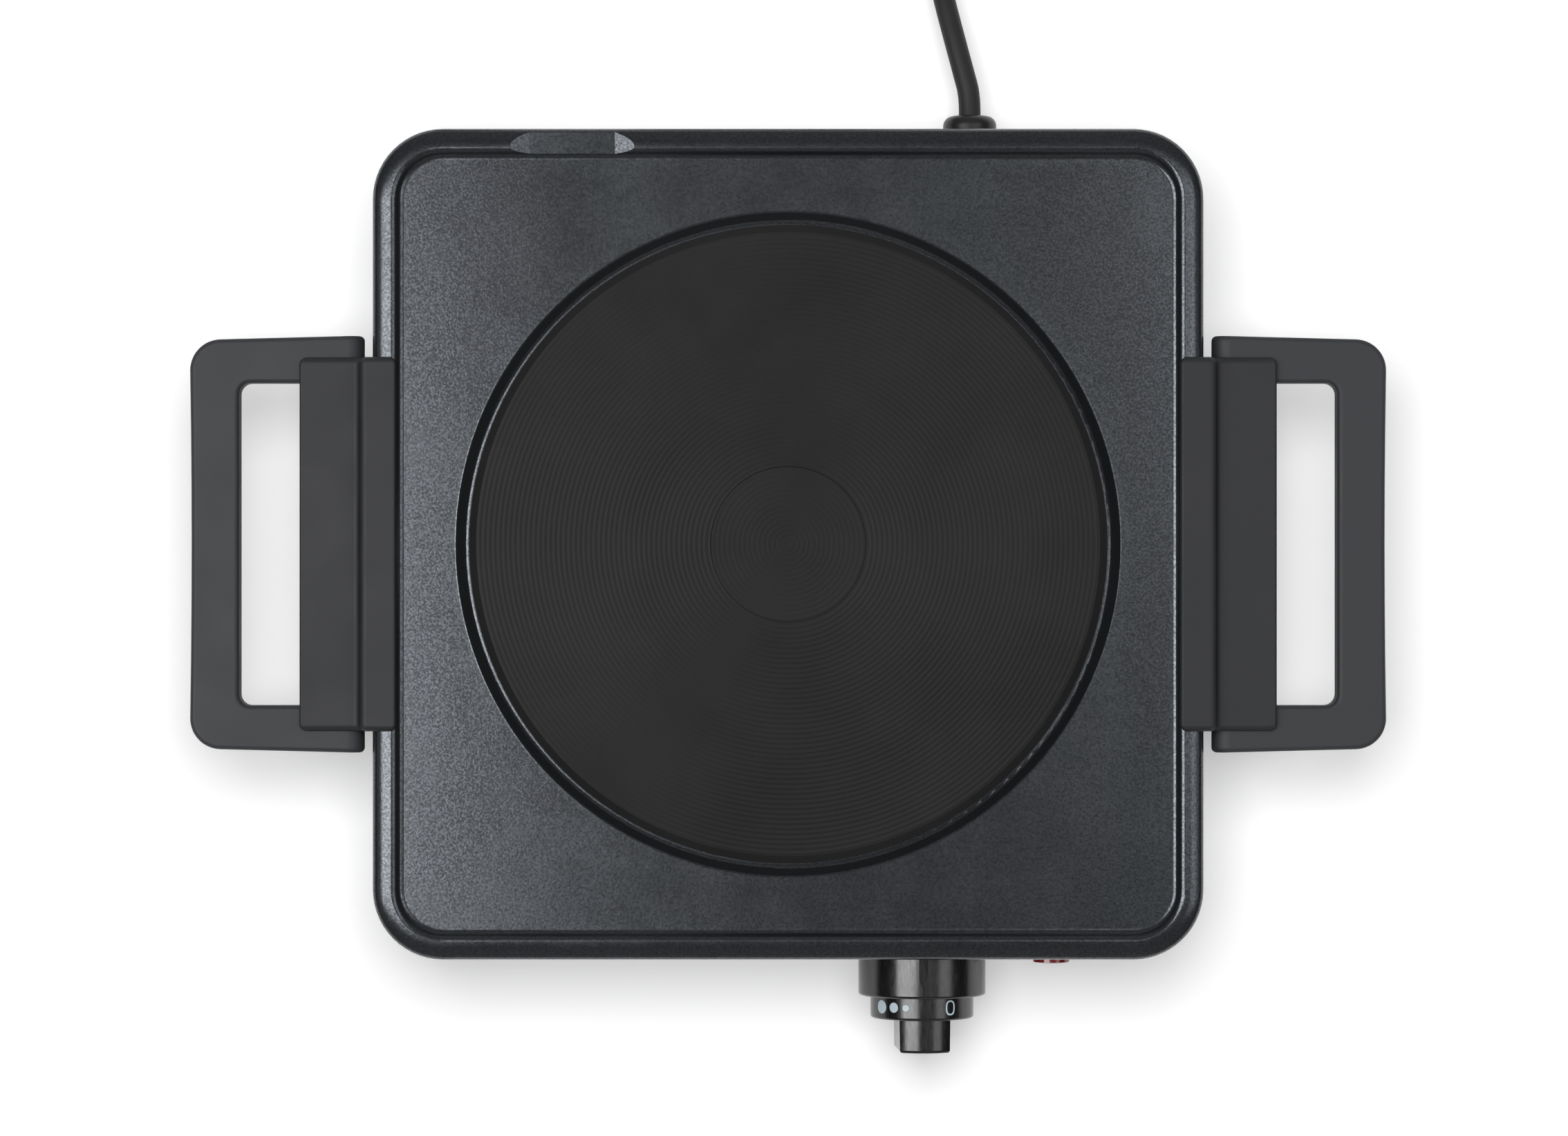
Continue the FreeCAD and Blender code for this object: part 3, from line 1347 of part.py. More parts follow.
def make_coil():
    """Path of the coil: in at a steady rate on the table, up one layer, and out again above."""
    *_, before, entry = lead_points()
    heading = (entry - before).normalize()
    start_angle = math.atan2(-heading.x, heading.y)
    half_turns = s.coil_turns.value / 2
    pitch = coil_pitch.value
    straight = 2 * s.cord_radius.value

    def radius(turn):
        return s.coil_inner_radius.value + pitch * abs(turn - half_turns)

    def climb(turn):
        return min(max((turn - half_turns) / CLIMB_TURNS + 0.5, 0), 1)

    outward = FreeCAD.Vector(math.cos(start_angle), math.sin(start_angle), 0)
    centre = entry + heading * straight - outward * radius(0)

    def point(turn):
        angle = start_angle + ROUND_TURN * turn
        flat = FreeCAD.Vector(math.cos(angle), math.sin(angle), 0) * radius(turn)
        return centre + flat + Z_AXIS * (pitch * (1 - math.cos(math.pi * climb(turn))) / 2)

    def direction(turn):
        angle = start_angle + ROUND_TURN * turn
        growth = 0
        if 0 < turn < s.coil_turns.value and not near(turn, half_turns):
            growth = math.copysign(pitch, turn - half_turns)
        out = FreeCAD.Vector(math.cos(angle), math.sin(angle), 0) * growth
        along = FreeCAD.Vector(-math.sin(angle), math.cos(angle), 0) * ROUND_TURN * radius(turn)
        lift = pitch * math.pi * math.sin(math.pi * climb(turn)) / (2 * CLIMB_TURNS)
        return (out + along + Z_AXIS * lift).normalize()

    return SimpleNamespace(
        entry=entry, heading=heading, centre=centre, start_angle=start_angle, straight=straight,
        radius=radius, point=point, direction=direction,
    )


coil = make_coil()


def biarc(start, start_heading, end, end_heading):
    """Two tangent arcs from one point and heading to another."""
    chord = end - start
    spread = 2 * (1 - start_heading.dot(end_heading))
    lean = chord.dot(start_heading + end_heading)
    reach = (math.sqrt(lean**2 + spread * chord.dot(chord)) - lean) / spread
    first, last = start + start_heading * reach, end - end_heading * reach
    join = (first + last) * 0.5
    return [tangent_arc(start, first, join), tangent_arc(join, last, end)]


def tangent_arc(start, corner, end):
    to_start, to_end = (start - corner).normalize(), (end - corner).normalize()
    inset = (start - corner).Length
    half_angle = to_start.getAngle(to_end) / 2
    bulge = inset * (1 - math.sin(half_angle)) / math.cos(half_angle)
    return Part.Arc(start, corner + (to_start + to_end).normalize() * bulge, end).toShape()


def coil_edges():
    turns = s.coil_turns.value
    quarters = [turns / 2 + step / 4 for step in range(-40, 41)]
    stations = [0, *(turn for turn in quarters if 0.01 < turn < turns - 0.01), turns]
    edges = [Part.LineSegment(coil.entry, coil.point(0)).toShape()]
    for turn, after in zip(stations, stations[1:]):
        places = coil.point(turn), coil.direction(turn), coil.point(after), coil.direction(after)
        edges.extend(biarc(*places))
    end = coil.point(turns)
    edges.append(Part.LineSegment(end, end + coil.direction(turns) * coil.straight).toShape())
    return edges


def least_gap(edges):
    """Least space between loops of the coil, from points along its middle line."""
    points = Part.Wire(edges).discretize(Distance=1.5)
    apart = int(30 * s.coil_inner_radius.value / 10)
    pairs = ((one, other) for index, one in enumerate(points) for other in points[index + apart:])
    return min((one - other).Length for one, other in pairs) - 2 * s.cord_radius.value


def mains_cord():
    node(place(tube("cord_lead", rounded_route(lead_points()), s.cord_radius)))
    edges = coil_edges()
    node(place(tube("cord_coil", edges, s.cord_radius)))
    print(f"cord_coil: least space between loops {least_gap(edges):.2f}")
    turns = s.coil_turns.value
    heading = coil.direction(turns)
    start = coil.point(turns) + heading * coil.straight
    lift = s.plug_radius.value - start.z
    points = [start + heading * along + Z_AXIS * (lift * share) for along, share in TAIL_STEPS]
    node(place(tube("cord_tail", rounded_route(points), s.cord_radius)))
    across = Z_AXIS.cross(heading)
    rotation = FreeCAD.Rotation(across, heading.cross(across), heading, "ZXY")
    plug(FreeCAD.Placement(points[-1] + Y_AXIS * plate_y.value, rotation))
    coil_tie()


def coil_tie():
    radii = [coil.radius(TIE_TURN + step) for step in range(int(s.coil_turns.value - TIE_TURN) + 1)]
    middle_x = (min(radii) + max(radii)) / 2
    middle_z = coil_z + coil_pitch / 2
    wide = s.cord_radius + s.tie_room + (max(radii) - min(radii)) / 2
    high = s.cord_radius + s.tie_room + coil_pitch / 2
    body = new_body("coil_tie")
    sketch = new_sketch(body, "XZ_Plane")
    outline = (as_size(middle_x), middle_z, wide + s.tie_metal, high + s.tie_metal, s.cord_radius)
    draw_loop(sketch, rounded_rectangle(*outline))
    opening = (as_size(middle_x), middle_z, wide, high, s.cord_radius - s.tie_metal)
    draw_loop(sketch, rounded_rectangle(*opening))
    pad(body, sketch, s.tie_width, symmetric=True)
    angle = math.degrees(coil.start_angle) + 360 * TIE_TURN
    centre = FreeCAD.Vector(coil.centre.x, coil.centre.y + plate_y.value, 0)
    body.Placement = FreeCAD.Placement(centre, FreeCAD.Rotation(Z_AXIS, angle))
    node(body)


def plug(placement):
    """Plug with its axis along the end of the cord."""
    body = turned("plug_body", [
        (0, 0),
        (s.cord_radius + s.tie_metal, 0),
        (s.plug_sleeve_radius, s.plug_sleeve),
        (s.plug_grip_radius, s.plug_sleeve + s.plug_sleeve_radius),
        (s.plug_grip_radius, s.plug_length - s.plug_front - s.plug_sleeve_radius),
        (s.plug_radius, s.plug_length - s.plug_front),
        (s.plug_radius, s.plug_length),
        (0, s.plug_length),
    ])
    sockets = new_sketch(body, "XY_Plane", s.plug_length)
    pin_x = s.plug_pin_spacing / 2
    for x in (pin_x, -pin_x):
        draw_circle(sockets, x, 0, s.plug_pin_radius + s.thread_room)
    pocket(body, sockets, s.plug_pin_sunk)
    channels = new_sketch(body, "XY_Plane", s.plug_length)
    strip_half = s.earth_strip_width / 2
    floor = s.plug_radius - 3 * s.earth_strip_metal
    for side in (1, -1):
        draw_loop(channels, [
            (strip_half, floor * side),
            (strip_half, s.plug_radius * side),
            (-strip_half, s.plug_radius * side),
            (-strip_half, floor * side),
        ])
    pocket(body, channels, s.plug_front)
    body.Placement = placement
    node(body)
    pins, strips = [], []
    for side in (1, -1):
        pin = doc.addObject("Part::Cylinder", "plug_pin")
        bind(pin, "Radius", s.plug_pin_radius)
        bind(pin, "Height", s.plug_pin_length + s.plug_pin_sunk)
        base = FreeCAD.Vector(pin_x.value * side, 0, s.plug_length.value - s.plug_pin_sunk.value)
        pin.Placement = placement.multiply(FreeCAD.Placement(base, UPRIGHT))
        pins.append(pin)
        strip = doc.addObject("Part::Box", "plug_earth_strip")
        bind(strip, "Length", s.earth_strip_width)
        bind(strip, "Width", s.earth_strip_metal)
        bind(strip, "Height", s.plug_front)
        front = floor.value if side > 0 else -floor.value - s.earth_strip_metal.value
        base = FreeCAD.Vector(-strip_half.value, front, s.plug_length.value - s.plug_front.value)
        strip.Placement = placement.multiply(FreeCAD.Placement(base, UPRIGHT))
        strips.append(strip)
    group("plug_pins", pins)
    group("plug_earth_strips", strips)


def build():
    housing()
    base_cover()
    feet()
    hot_plate()
    heater()
    plate_clamp()
    thermostat()
    sensing_strip()
    knob_bezel()
    knob()
    pilot_light()
    for name, side, rotation in (("right", 1, UPRIGHT), ("left", -1, HALF_TURN)):
        bracket(f"handle_bracket_{name}", rotation)
        handle(f"handle_{name}", rotation)
        hinge_pins(f"hinge_pins_{name}", side)
    bracket_fasteners()
    terminal_block()
    strain_relief()
    wiring()
    mains_cord()


def check_and_export():
    doc.recompute()
    for obj in doc.Objects:
        if "Invalid" in obj.State or "Error" in obj.State:
            raise RuntimeError(f"{obj.Name} did not recompute: {obj.State}")
    os.makedirs("parts", exist_ok=True)
    for obj in nodes:
        if obj.Shape.isNull() or not obj.Shape.isValid():
            raise RuntimeError(f"{obj.Label} has no valid shape")
        obj.Shape.exportStep(f"parts/{obj.Label}.step")
        print(f"{obj.Label}: {len(obj.Shape.Solids)} solids, volume {obj.Shape.Volume:.0f}")


build()
check_and_export()
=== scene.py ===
import json
import math

import bmesh
import bpy
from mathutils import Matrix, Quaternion, Vector


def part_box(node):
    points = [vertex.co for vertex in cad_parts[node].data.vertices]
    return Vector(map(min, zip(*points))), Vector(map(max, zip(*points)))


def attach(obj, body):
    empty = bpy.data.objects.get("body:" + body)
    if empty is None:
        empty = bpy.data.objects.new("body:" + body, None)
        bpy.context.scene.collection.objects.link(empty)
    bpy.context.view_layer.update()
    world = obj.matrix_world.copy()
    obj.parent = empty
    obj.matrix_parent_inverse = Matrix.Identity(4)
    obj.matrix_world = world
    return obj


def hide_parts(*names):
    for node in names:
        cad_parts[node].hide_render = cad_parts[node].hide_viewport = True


bl_info = {
    "name": "Electric Hot Plate",
    "version": (1, 0, 0),
    "blender": (4, 5, 0),
    "location": "View3D > Sidebar > Hot Plate",
    "description": "Dresses a single electric hot plate with its finishes, dial marks, cord and studio",
    "category": "Object",
}

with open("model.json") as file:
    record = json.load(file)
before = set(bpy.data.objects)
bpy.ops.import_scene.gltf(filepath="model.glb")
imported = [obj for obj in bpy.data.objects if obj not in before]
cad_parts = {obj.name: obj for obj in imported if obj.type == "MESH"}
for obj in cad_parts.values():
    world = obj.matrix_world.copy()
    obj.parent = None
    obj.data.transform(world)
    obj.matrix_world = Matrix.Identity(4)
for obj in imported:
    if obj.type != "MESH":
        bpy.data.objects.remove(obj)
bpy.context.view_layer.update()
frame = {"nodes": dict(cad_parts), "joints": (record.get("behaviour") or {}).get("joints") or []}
NODES = frame["nodes"]
JOINTS = {joint["name"]: joint for joint in frame["joints"]}

# The plate's axis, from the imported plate, and the knob's axis, from its joint
PLATE_LOW, PLATE_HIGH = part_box("hot_plate")
PLATE_X = (PLATE_LOW.x + PLATE_HIGH.x) / 2
PLATE_Y = (PLATE_LOW.y + PLATE_HIGH.y) / 2
KNOB_AXIS = Vector(JOINTS["knob_turn"]["pos_m"])
BEZEL_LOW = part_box("knob_bezel")[0]

# Ridged zones of the plate: inner and outer radius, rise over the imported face, share of the ridge height
RIDGE_ZONES = {
    "plate_ridges": (0.02253, 0.08990, 0.0, 1.0),
    "plate_centre_ridges": (0.00020, 0.02240, -0.0003, 0.5),
}
RIDGE_LIFT = 0.00002
ROWS_A_RIDGE = 8
RIDGE_SPOKES = 145
SEAM_GAP = 0.000002

# Dial marks: the rim that carries them, how far they lie before the bezel, and their angles from the top
DIAL_RADIUS = 0.01525
PRINT_LIFT = 0.00003
MARKS_BEFORE_BEZEL = 0.0029
NOUGHT_DEGREES = 31.6
FIRST_DOT_DEGREES = 19.7
DOT_STEP_DEGREES = 14.7
DOT_STEP_GROWTH = 1.55
DOT_GROWTH = 0.001
DOT_SIDES = 24

# Screw heads: how near to its end a screw's end face lies, and the dark cross on it, which is painted shade
# standing in for the recess
END_REACH = 0.0001
SAME_SPOT = 0.000001
CROSS_REACH = 0.0019
CROSS_STROKE = 0.0004
CROSS_LIFT = 0.00002
CROSS_TURN = 0.7

# Stage: a floor just under the feet, white to the camera also where the lamps no longer reach
FLOOR_REACH = 8
FLOOR_DROP = 0.0002
FLOOR_PAPER = (0.92, 0.92, 0.92)
FLOOR_GLOW = 0.32
FAR_FROM = 0.5
FAR_TO = 1.5
FAR_GLOW = 0.65
CEILING_GLOW = 0.16
WALL_GLOW = 0.30

# Lamps: place, width and depth, power, and the kind of light that each leaves out
LAMPS = {
    "softbox_left": ((-0.610, -0.033, 1.198), (0.60, 0.86), 10.8, "visible_diffuse"),
    "softbox_right": ((0.588, 0.157, 1.210), (0.50, 0.91), 2.6, "visible_diffuse"),
    "strip_right": ((0.887, -0.15, 1.00), (0.50, 0.50), 1.4, "visible_diffuse"),
    "overhead": ((-0.05, 0.17, 1.45), (0.70, 0.70), 16.5, "visible_glossy"),
}
LAMP_TARGET_HEIGHT = 0.05

# Camera, from the plate's axis
CAMERA_X = -0.0012
CAMERA_Y = -0.0069
CAMERA_LENS = 118.9
CAMERA_SENSOR = 36
CAMERA_CLIP = (0.05, 20)


def colour_setting(name, description, default):
    return bpy.props.FloatVectorProperty(
        name=name, description=description, default=default, subtype="COLOR", size=3, min=0, max=1)


def length_setting(name, description, default):
    return bpy.props.FloatProperty(name=name, description=description, default=default, subtype="DISTANCE")


class HotPlateColours(bpy.types.PropertyGroup):
    """Colours of the finishes, as linear values."""

    coat: colour_setting("Powder coat", "Baked coat on the housing", (0.0109, 0.0116, 0.0131))
    iron: colour_setting("Blacked iron", "Stove-blacked cast plate", (0.0212, 0.0212, 0.0214))
    handle: colour_setting("Handle", "Heat-proof plastic of the handles", (0.0315, 0.0328, 0.0370))
    knob: colour_setting("Knob", "Polished black plastic", (0.0035, 0.0035, 0.0036))
    marks: colour_setting("Dial marks", "Printed marks on the dial", (0.55, 0.66, 0.72))
    lens: colour_setting("Pilot lens", "Clear red lens", (0.40, 0.012, 0.018))
    sheath: colour_setting("Cord sheath", "Rubber sheath of the mains cord", (0.0195, 0.0195, 0.0205))


class HotPlateSizes(bpy.types.PropertyGroup):
    """Sizes of what the solids leave to this file."""

    ridge_pitch: length_setting("Ridge pitch", "Ridge to ridge on the turned plate", 0.00145)
    ridge_height: length_setting("Ridge height", "Valley to ridge on the turned plate", 0.00008)
    coat_grain: length_setting("Coat grain", "Width of one grain of the powder coat", 0.00065)
    dot_count: bpy.props.IntProperty(
        name="Dots", description="Heat dots on the dial", min=1, max=6, default=3)
    first_dot: length_setting("First dot", "Diameter of the smallest dot", 0.00195)
    zero_height: length_setting("Zero height", "Height of the nought on the dial", 0.0044)
    zero_width: length_setting("Zero width", "Width of the nought on the dial", 0.0031)
    cord_length: length_setting("Cord length", "Strain relief to plug", 0.915)
    cord_diameter: length_setting("Cord diameter", "Sheath of the mains cord", 0.0065)
    camera_height: length_setting("Camera height", "Table to camera", 1.566)


def colours():
    return bpy.context.scene.hot_plate_colours


def sizes():
    return bpy.context.scene.hot_plate_sizes


# Node trees


def add(tree, kind, inputs=None, **settings):
    """Add a node, set its settings, then set or link its inputs."""
    node = tree.nodes.new(kind)
    for name, value in settings.items():
        setattr(node, name, value)
    for key, value in (inputs or {}).items():
        if isinstance(value, bpy.types.NodeSocket):
            tree.links.new(value, node.inputs[key])
        else:
            node.inputs[key].default_value = value
    return node


def math_node(tree, operation, first, second=0.0):
    """The result of a sum on numbers or sockets."""
    return add(tree, "ShaderNodeMath", {0: first, 1: second}, operation=operation).outputs[0]


def opaque(colour):
    return (*colour, 1.0)


class Finish:
    """A material with its shader, and short words for the patterns that drive it."""

    def __init__(self, name, **sockets):
        self.material = bpy.data.materials.new(name)
        self.material.use_nodes = True
        self.tree = self.material.node_tree
        self.shader = self.tree.nodes["Principled BSDF"]
        self.place = add(self.tree, "ShaderNodeTexCoord").outputs["Object"]
        for socket, value in sockets.items():
            self.shader.inputs[socket.replace("_", " ")].default_value = value

    def set(self, **links):
        for socket, source in links.items():
            self.tree.links.new(source, self.shader.inputs[socket.replace("_", " ")])
        return self

    def noise(self, width, detail=2.0, roughness=0.5, vector=None):
        """Noise whose grains are about width across, in metres."""
        inputs = {"Vector": vector or self.place, "Scale": 1 / width}
        inputs.update({"Detail": detail, "Roughness": roughness})
        return add(self.tree, "ShaderNodeTexNoise", inputs).outputs["Fac"]

    def cells(self, width):
        """Rounded cells about width across, in metres."""
        inputs = {"Vector": self.place, "Scale": 1 / width}
        return add(self.tree, "ShaderNodeTexVoronoi", inputs).outputs["Distance"]

    def stretched(self, x, y, z):
        """Object coordinates scaled along each axis."""
        inputs = {"Vector": self.place, "Scale": (x, y, z)}
        return add(self.tree, "ShaderNodeMapping", inputs).outputs["Vector"]

    def between(self, factor, low, high, start=0.3, end=0.7):
        """Spread a pattern's middle over the range from low to high."""
        inputs = {"Value": factor, "From Min": start, "From Max": end, "To Min": low, "To Max": high}
        return add(self.tree, "ShaderNodeMapRange", inputs).outputs["Result"]

    def tint(self, factor, dark, light, start=0.3, end=0.7):
        """Spread a pattern's middle from a dark colour to a light one."""
        ramp = add(self.tree, "ShaderNodeValToRGB", {"Fac": factor})
        ramp.color_ramp.elements[0].position = start
        ramp.color_ramp.elements[1].position = end
        ramp.color_ramp.elements[0].color = opaque(dark)
        ramp.color_ramp.elements[1].color = opaque(light)
        return ramp.outputs["Color"]

    def bump(self, height, depth, strength=1.0):
        inputs = {"Height": height, "Distance": depth, "Strength": strength}
        return add(self.tree, "ShaderNodeBump", inputs).outputs["Normal"]


def shade(colour, factor):
    return tuple(min(channel * factor, 1.0) for channel in colour)


def powder_coat(name, colour):
    """Baked coat with a fine even grain, a little bluer where it shines."""
    finish = Finish(name, Specular_Tint=(0.86, 0.92, 1.0, 1.0))
    grain = finish.noise(sizes().coat_grain, detail=3.0, roughness=0.6)
    drift = finish.noise(0.05, detail=2.0)
    return finish.set(
        Base_Color=finish.tint(drift, shade(colour, 0.92), shade(colour, 1.08)),
        Roughness=finish.between(finish.noise(0.012), 0.20, 0.24),
        Specular_IOR_Level=finish.between(grain, 0.48, 1.12, 0.36, 0.64),
        Normal=finish.bump(grain, 0.00002),
    ).material


def blacked_iron(name, colour):
    """Stove-blacked casting, nearly without shine, with fine pits."""
    finish = Finish(name, Specular_IOR_Level=0.045)
    pits = finish.noise(0.0006, detail=4.0, roughness=0.7)
    cloud = finish.noise(0.03, detail=3.0)
    return finish.set(
        Base_Color=finish.tint(cloud, shade(colour, 0.88), shade(colour, 1.12)),
        Roughness=finish.between(cloud, 0.30, 0.36),
        Normal=finish.bump(pits, 0.00002, 0.5),
    ).material


def moulded_plastic(name, colour, low, high, grain=0.0004, depth=0.00003):
    """Plastic with the fine spark texture of its mould, and a faint cloud of handling."""
    finish = Finish(name, Specular_IOR_Level=0.42)
    spark = finish.noise(grain, detail=2.0)
    cloud = finish.noise(0.02, detail=3.0)
    return finish.set(
        Base_Color=finish.tint(cloud, shade(colour, 0.90), shade(colour, 1.10)),
        Roughness=finish.between(cloud, low, high),
        Normal=finish.bump(spark, depth, 0.6),
    ).material


def polished_plastic(name, colour):
    """Bright moulded plastic with faint flow waves and fine rubbing."""
    finish = Finish(name, Specular_IOR_Level=0.75)
    waves = finish.noise(0.004, detail=1.0, vector=finish.stretched(1.0, 0.25, 1.0))
    rubbing = finish.noise(0.0005, detail=2.0, vector=finish.stretched(1.0, 0.15, 1.0))
    return finish.set(
        Base_Color=finish.tint(waves, shade(colour, 0.8), shade(colour, 1.3)),
        Roughness=finish.between(rubbing, 0.18, 0.28),
        Normal=finish.bump(waves, 0.00004, 0.5),
    ).material


def printed_mark(name, colour):
    """Pad-printed ink."""
    finish = Finish(name, Specular_IOR_Level=0.4)
    speck = finish.noise(0.0002, detail=2.0)
    return finish.set(
        Base_Color=finish.tint(speck, shade(colour, 0.93), shade(colour, 1.05)),
        Roughness=finish.between(speck, 0.40, 0.50),
    ).material


def clear_red(name, colour):
    """Dark red lens that lets some light through."""
    finish = Finish(name, Transmission_Weight=0.35, IOR=1.49, Coat_Weight=0.4, Coat_Roughness=0.05)
    cloud = finish.noise(0.002, detail=2.0)
    return finish.set(
        Base_Color=finish.tint(cloud, shade(colour, 0.8), shade(colour, 1.2)),
        Roughness=finish.between(cloud, 0.10, 0.18),
        Normal=finish.bump(cloud, 0.00005, 0.4),
    ).material


def rubber(name, colour, grain=0.0005):
    """Dull rubber or silicone sleeve."""
    finish = Finish(name, Specular_IOR_Level=0.4)
    fine = finish.noise(grain, detail=2.0)
    cloud = finish.noise(0.015, detail=3.0)
    return finish.set(
        Base_Color=finish.tint(cloud, shade(colour, 0.85), shade(colour, 1.15)),
        Roughness=finish.between(cloud, 0.52, 0.64),
        Normal=finish.bump(fine, 0.00004, 0.6),
    ).material


def plated_metal(name, colour, low=0.28, high=0.42):
    """Plated or bare metal with rolling marks and a cloudy plate."""
    finish = Finish(name, Metallic=1.0)
    rolled = finish.noise(0.0006, detail=2.0, vector=finish.stretched(1.0, 0.05, 1.0))
    spangle = finish.cells(0.006)
    return finish.set(
        Base_Color=finish.tint(spangle, shade(colour, 0.86), shade(colour, 1.08), 0.1, 0.8),
        Roughness=finish.between(rolled, low, high),
        Normal=finish.bump(rolled, 0.00001, 0.5),
    ).material


def fired_ceramic(name, colour):
    """Unglazed ceramic or packed cement."""
    finish = Finish(name, Specular_IOR_Level=0.4)
    grain = finish.noise(0.0008, detail=4.0, roughness=0.65)
    return finish.set(
        Base_Color=finish.tint(grain, shade(colour, 0.90), shade(colour, 1.04)),
        Roughness=finish.between(grain, 0.60, 0.75),
        Normal=finish.bump(grain, 0.00005, 0.6),
    ).material


def lamp_glass(name):
    finish = Finish(name, Transmission_Weight=0.9, IOR=1.47)
    cloud = finish.noise(0.002)
    return finish.set(
        Base_Color=finish.tint(cloud, (0.88, 0.78, 0.70), (0.95, 0.88, 0.82)),
        Roughness=finish.between(cloud, 0.02, 0.06),
    ).material


def dress(material, *names):
    """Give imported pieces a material."""
    for name in names:
        NODES[name].material_slots[0].material = material


# Geometry trees


def begin_tree(name, **labels):
    """A tree with one named input for each label, and those inputs' sockets."""
    tree = bpy.data.node_groups.new(name, "GeometryNodeTree")
    tree.interface.new_socket("Geometry", in_out="OUTPUT", socket_type="NodeSocketGeometry")
    for label, kind in labels.items():
        tree.interface.new_socket(label.replace("_", " "), in_out="INPUT", socket_type=f"NodeSocket{kind}")
    return tree, tree.nodes.new("NodeGroupInput").outputs


def end_tree(tree, last, finish):
    """Give the last node's mesh its material and hand it out."""
    coated = add(tree, "GeometryNodeSetMaterial", {"Geometry": last.outputs[0], "Material": finish})
    add(tree, "NodeGroupOutput", {0: coated.outputs[0]})


def ridge_tree():
    """A disc of concentric ridges, bent round from a flat grid of radius by angle."""
    tree, given = begin_tree("turned_ridges", Inner_Radius="Float", Outer_Radius="Float", Pitch="Float",
                             Height="Float", Rows="Int", Spokes="Int", Finish="Material")
    sheet = {"Size X": 1.0, "Size Y": 1.0, "Vertices X": given["Rows"], "Vertices Y": given["Spokes"]}
    grid = add(tree, "GeometryNodeMeshGrid", sheet)
    at = add(tree, "ShaderNodeSeparateXYZ", {0: add(tree, "GeometryNodeInputPosition").outputs[0]}).outputs
    along = math_node(tree, "ADD", at["X"], 0.5)
    reach = math_node(tree, "SUBTRACT", given["Outer Radius"], given["Inner Radius"])
    radius = math_node(tree, "ADD", math_node(tree, "MULTIPLY", along, reach), given["Inner Radius"])
    angle = math_node(tree, "MULTIPLY", at["Y"], math.tau)
    inward = math_node(tree, "SUBTRACT", given["Outer Radius"], radius)
    phase = math_node(tree, "MULTIPLY", math_node(tree, "DIVIDE", inward, given["Pitch"]), math.tau)
    swell = math_node(tree, "SUBTRACT", 1.0, math_node(tree, "COSINE", phase))
    height = math_node(tree, "MULTIPLY", math_node(tree, "MULTIPLY", swell, 0.5), given["Height"])
    spot = add(tree, "ShaderNodeCombineXYZ", {
        "X": math_node(tree, "MULTIPLY", radius, math_node(tree, "COSINE", angle)),
        "Y": math_node(tree, "MULTIPLY", radius, math_node(tree, "SINE", angle)),
        "Z": height,
    })
    bent = add(tree, "GeometryNodeSetPosition", {
        "Geometry": grid.outputs["Mesh"],
        "Position": spot.outputs[0],
    })
    closed = add(tree, "GeometryNodeMergeByDistance", {"Geometry": bent.outputs[0], "Distance": SEAM_GAP})
    smooth = add(tree, "GeometryNodeSetShadeSmooth", {"Geometry": closed.outputs[0]})
    whole = add(tree, "GeometryNodeRealizeInstances", {"Geometry": smooth.outputs[0]})
    end_tree(tree, whole, given["Finish"])
    return tree


def grow(name, tree, values, material):
    """Run a geometry tree with the named values and keep its result as a plain mesh piece."""
    seed = bpy.data.objects.new(f"{name}_seed", bpy.data.meshes.new(f"{name}_seed"))
    bpy.context.scene.collection.objects.link(seed)
    modifier = seed.modifiers.new("grow", "NODES")
    modifier.node_group = tree
    named = {item.name: item.identifier for item in tree.interface.items_tree if item.in_out == "INPUT"}
    for label, value in values.items():
        modifier[named[label]] = value
    modifier[named["Finish"]] = material
    bpy.context.view_layer.update()
    grown = seed.evaluated_get(bpy.context.evaluated_depsgraph_get())
    mesh = bpy.data.meshes.new_from_object(grown)
    bpy.data.objects.remove(seed)
    return new_piece(name, mesh)


def new_piece(name, data):
    piece = bpy.data.objects.new(name, data)
    bpy.context.scene.collection.objects.link(piece)
    return piece


def settle(shape, mesh):
    """Write an edited shape to its mesh and let it go."""
    shape.to_mesh(mesh)
    shape.free()
    return mesh


def face_upwards(mesh):
    """Point every face of a level sheet up."""
    shape = bmesh.new()
    shape.from_mesh(mesh)
    bmesh.ops.recalc_face_normals(shape, faces=shape.faces)
    shape.faces.ensure_lookup_table()
    if shape.faces[0].normal.z < 0:
        bmesh.ops.reverse_faces(shape, faces=shape.faces)
    settle(shape, mesh)


# Marks printed round the dial


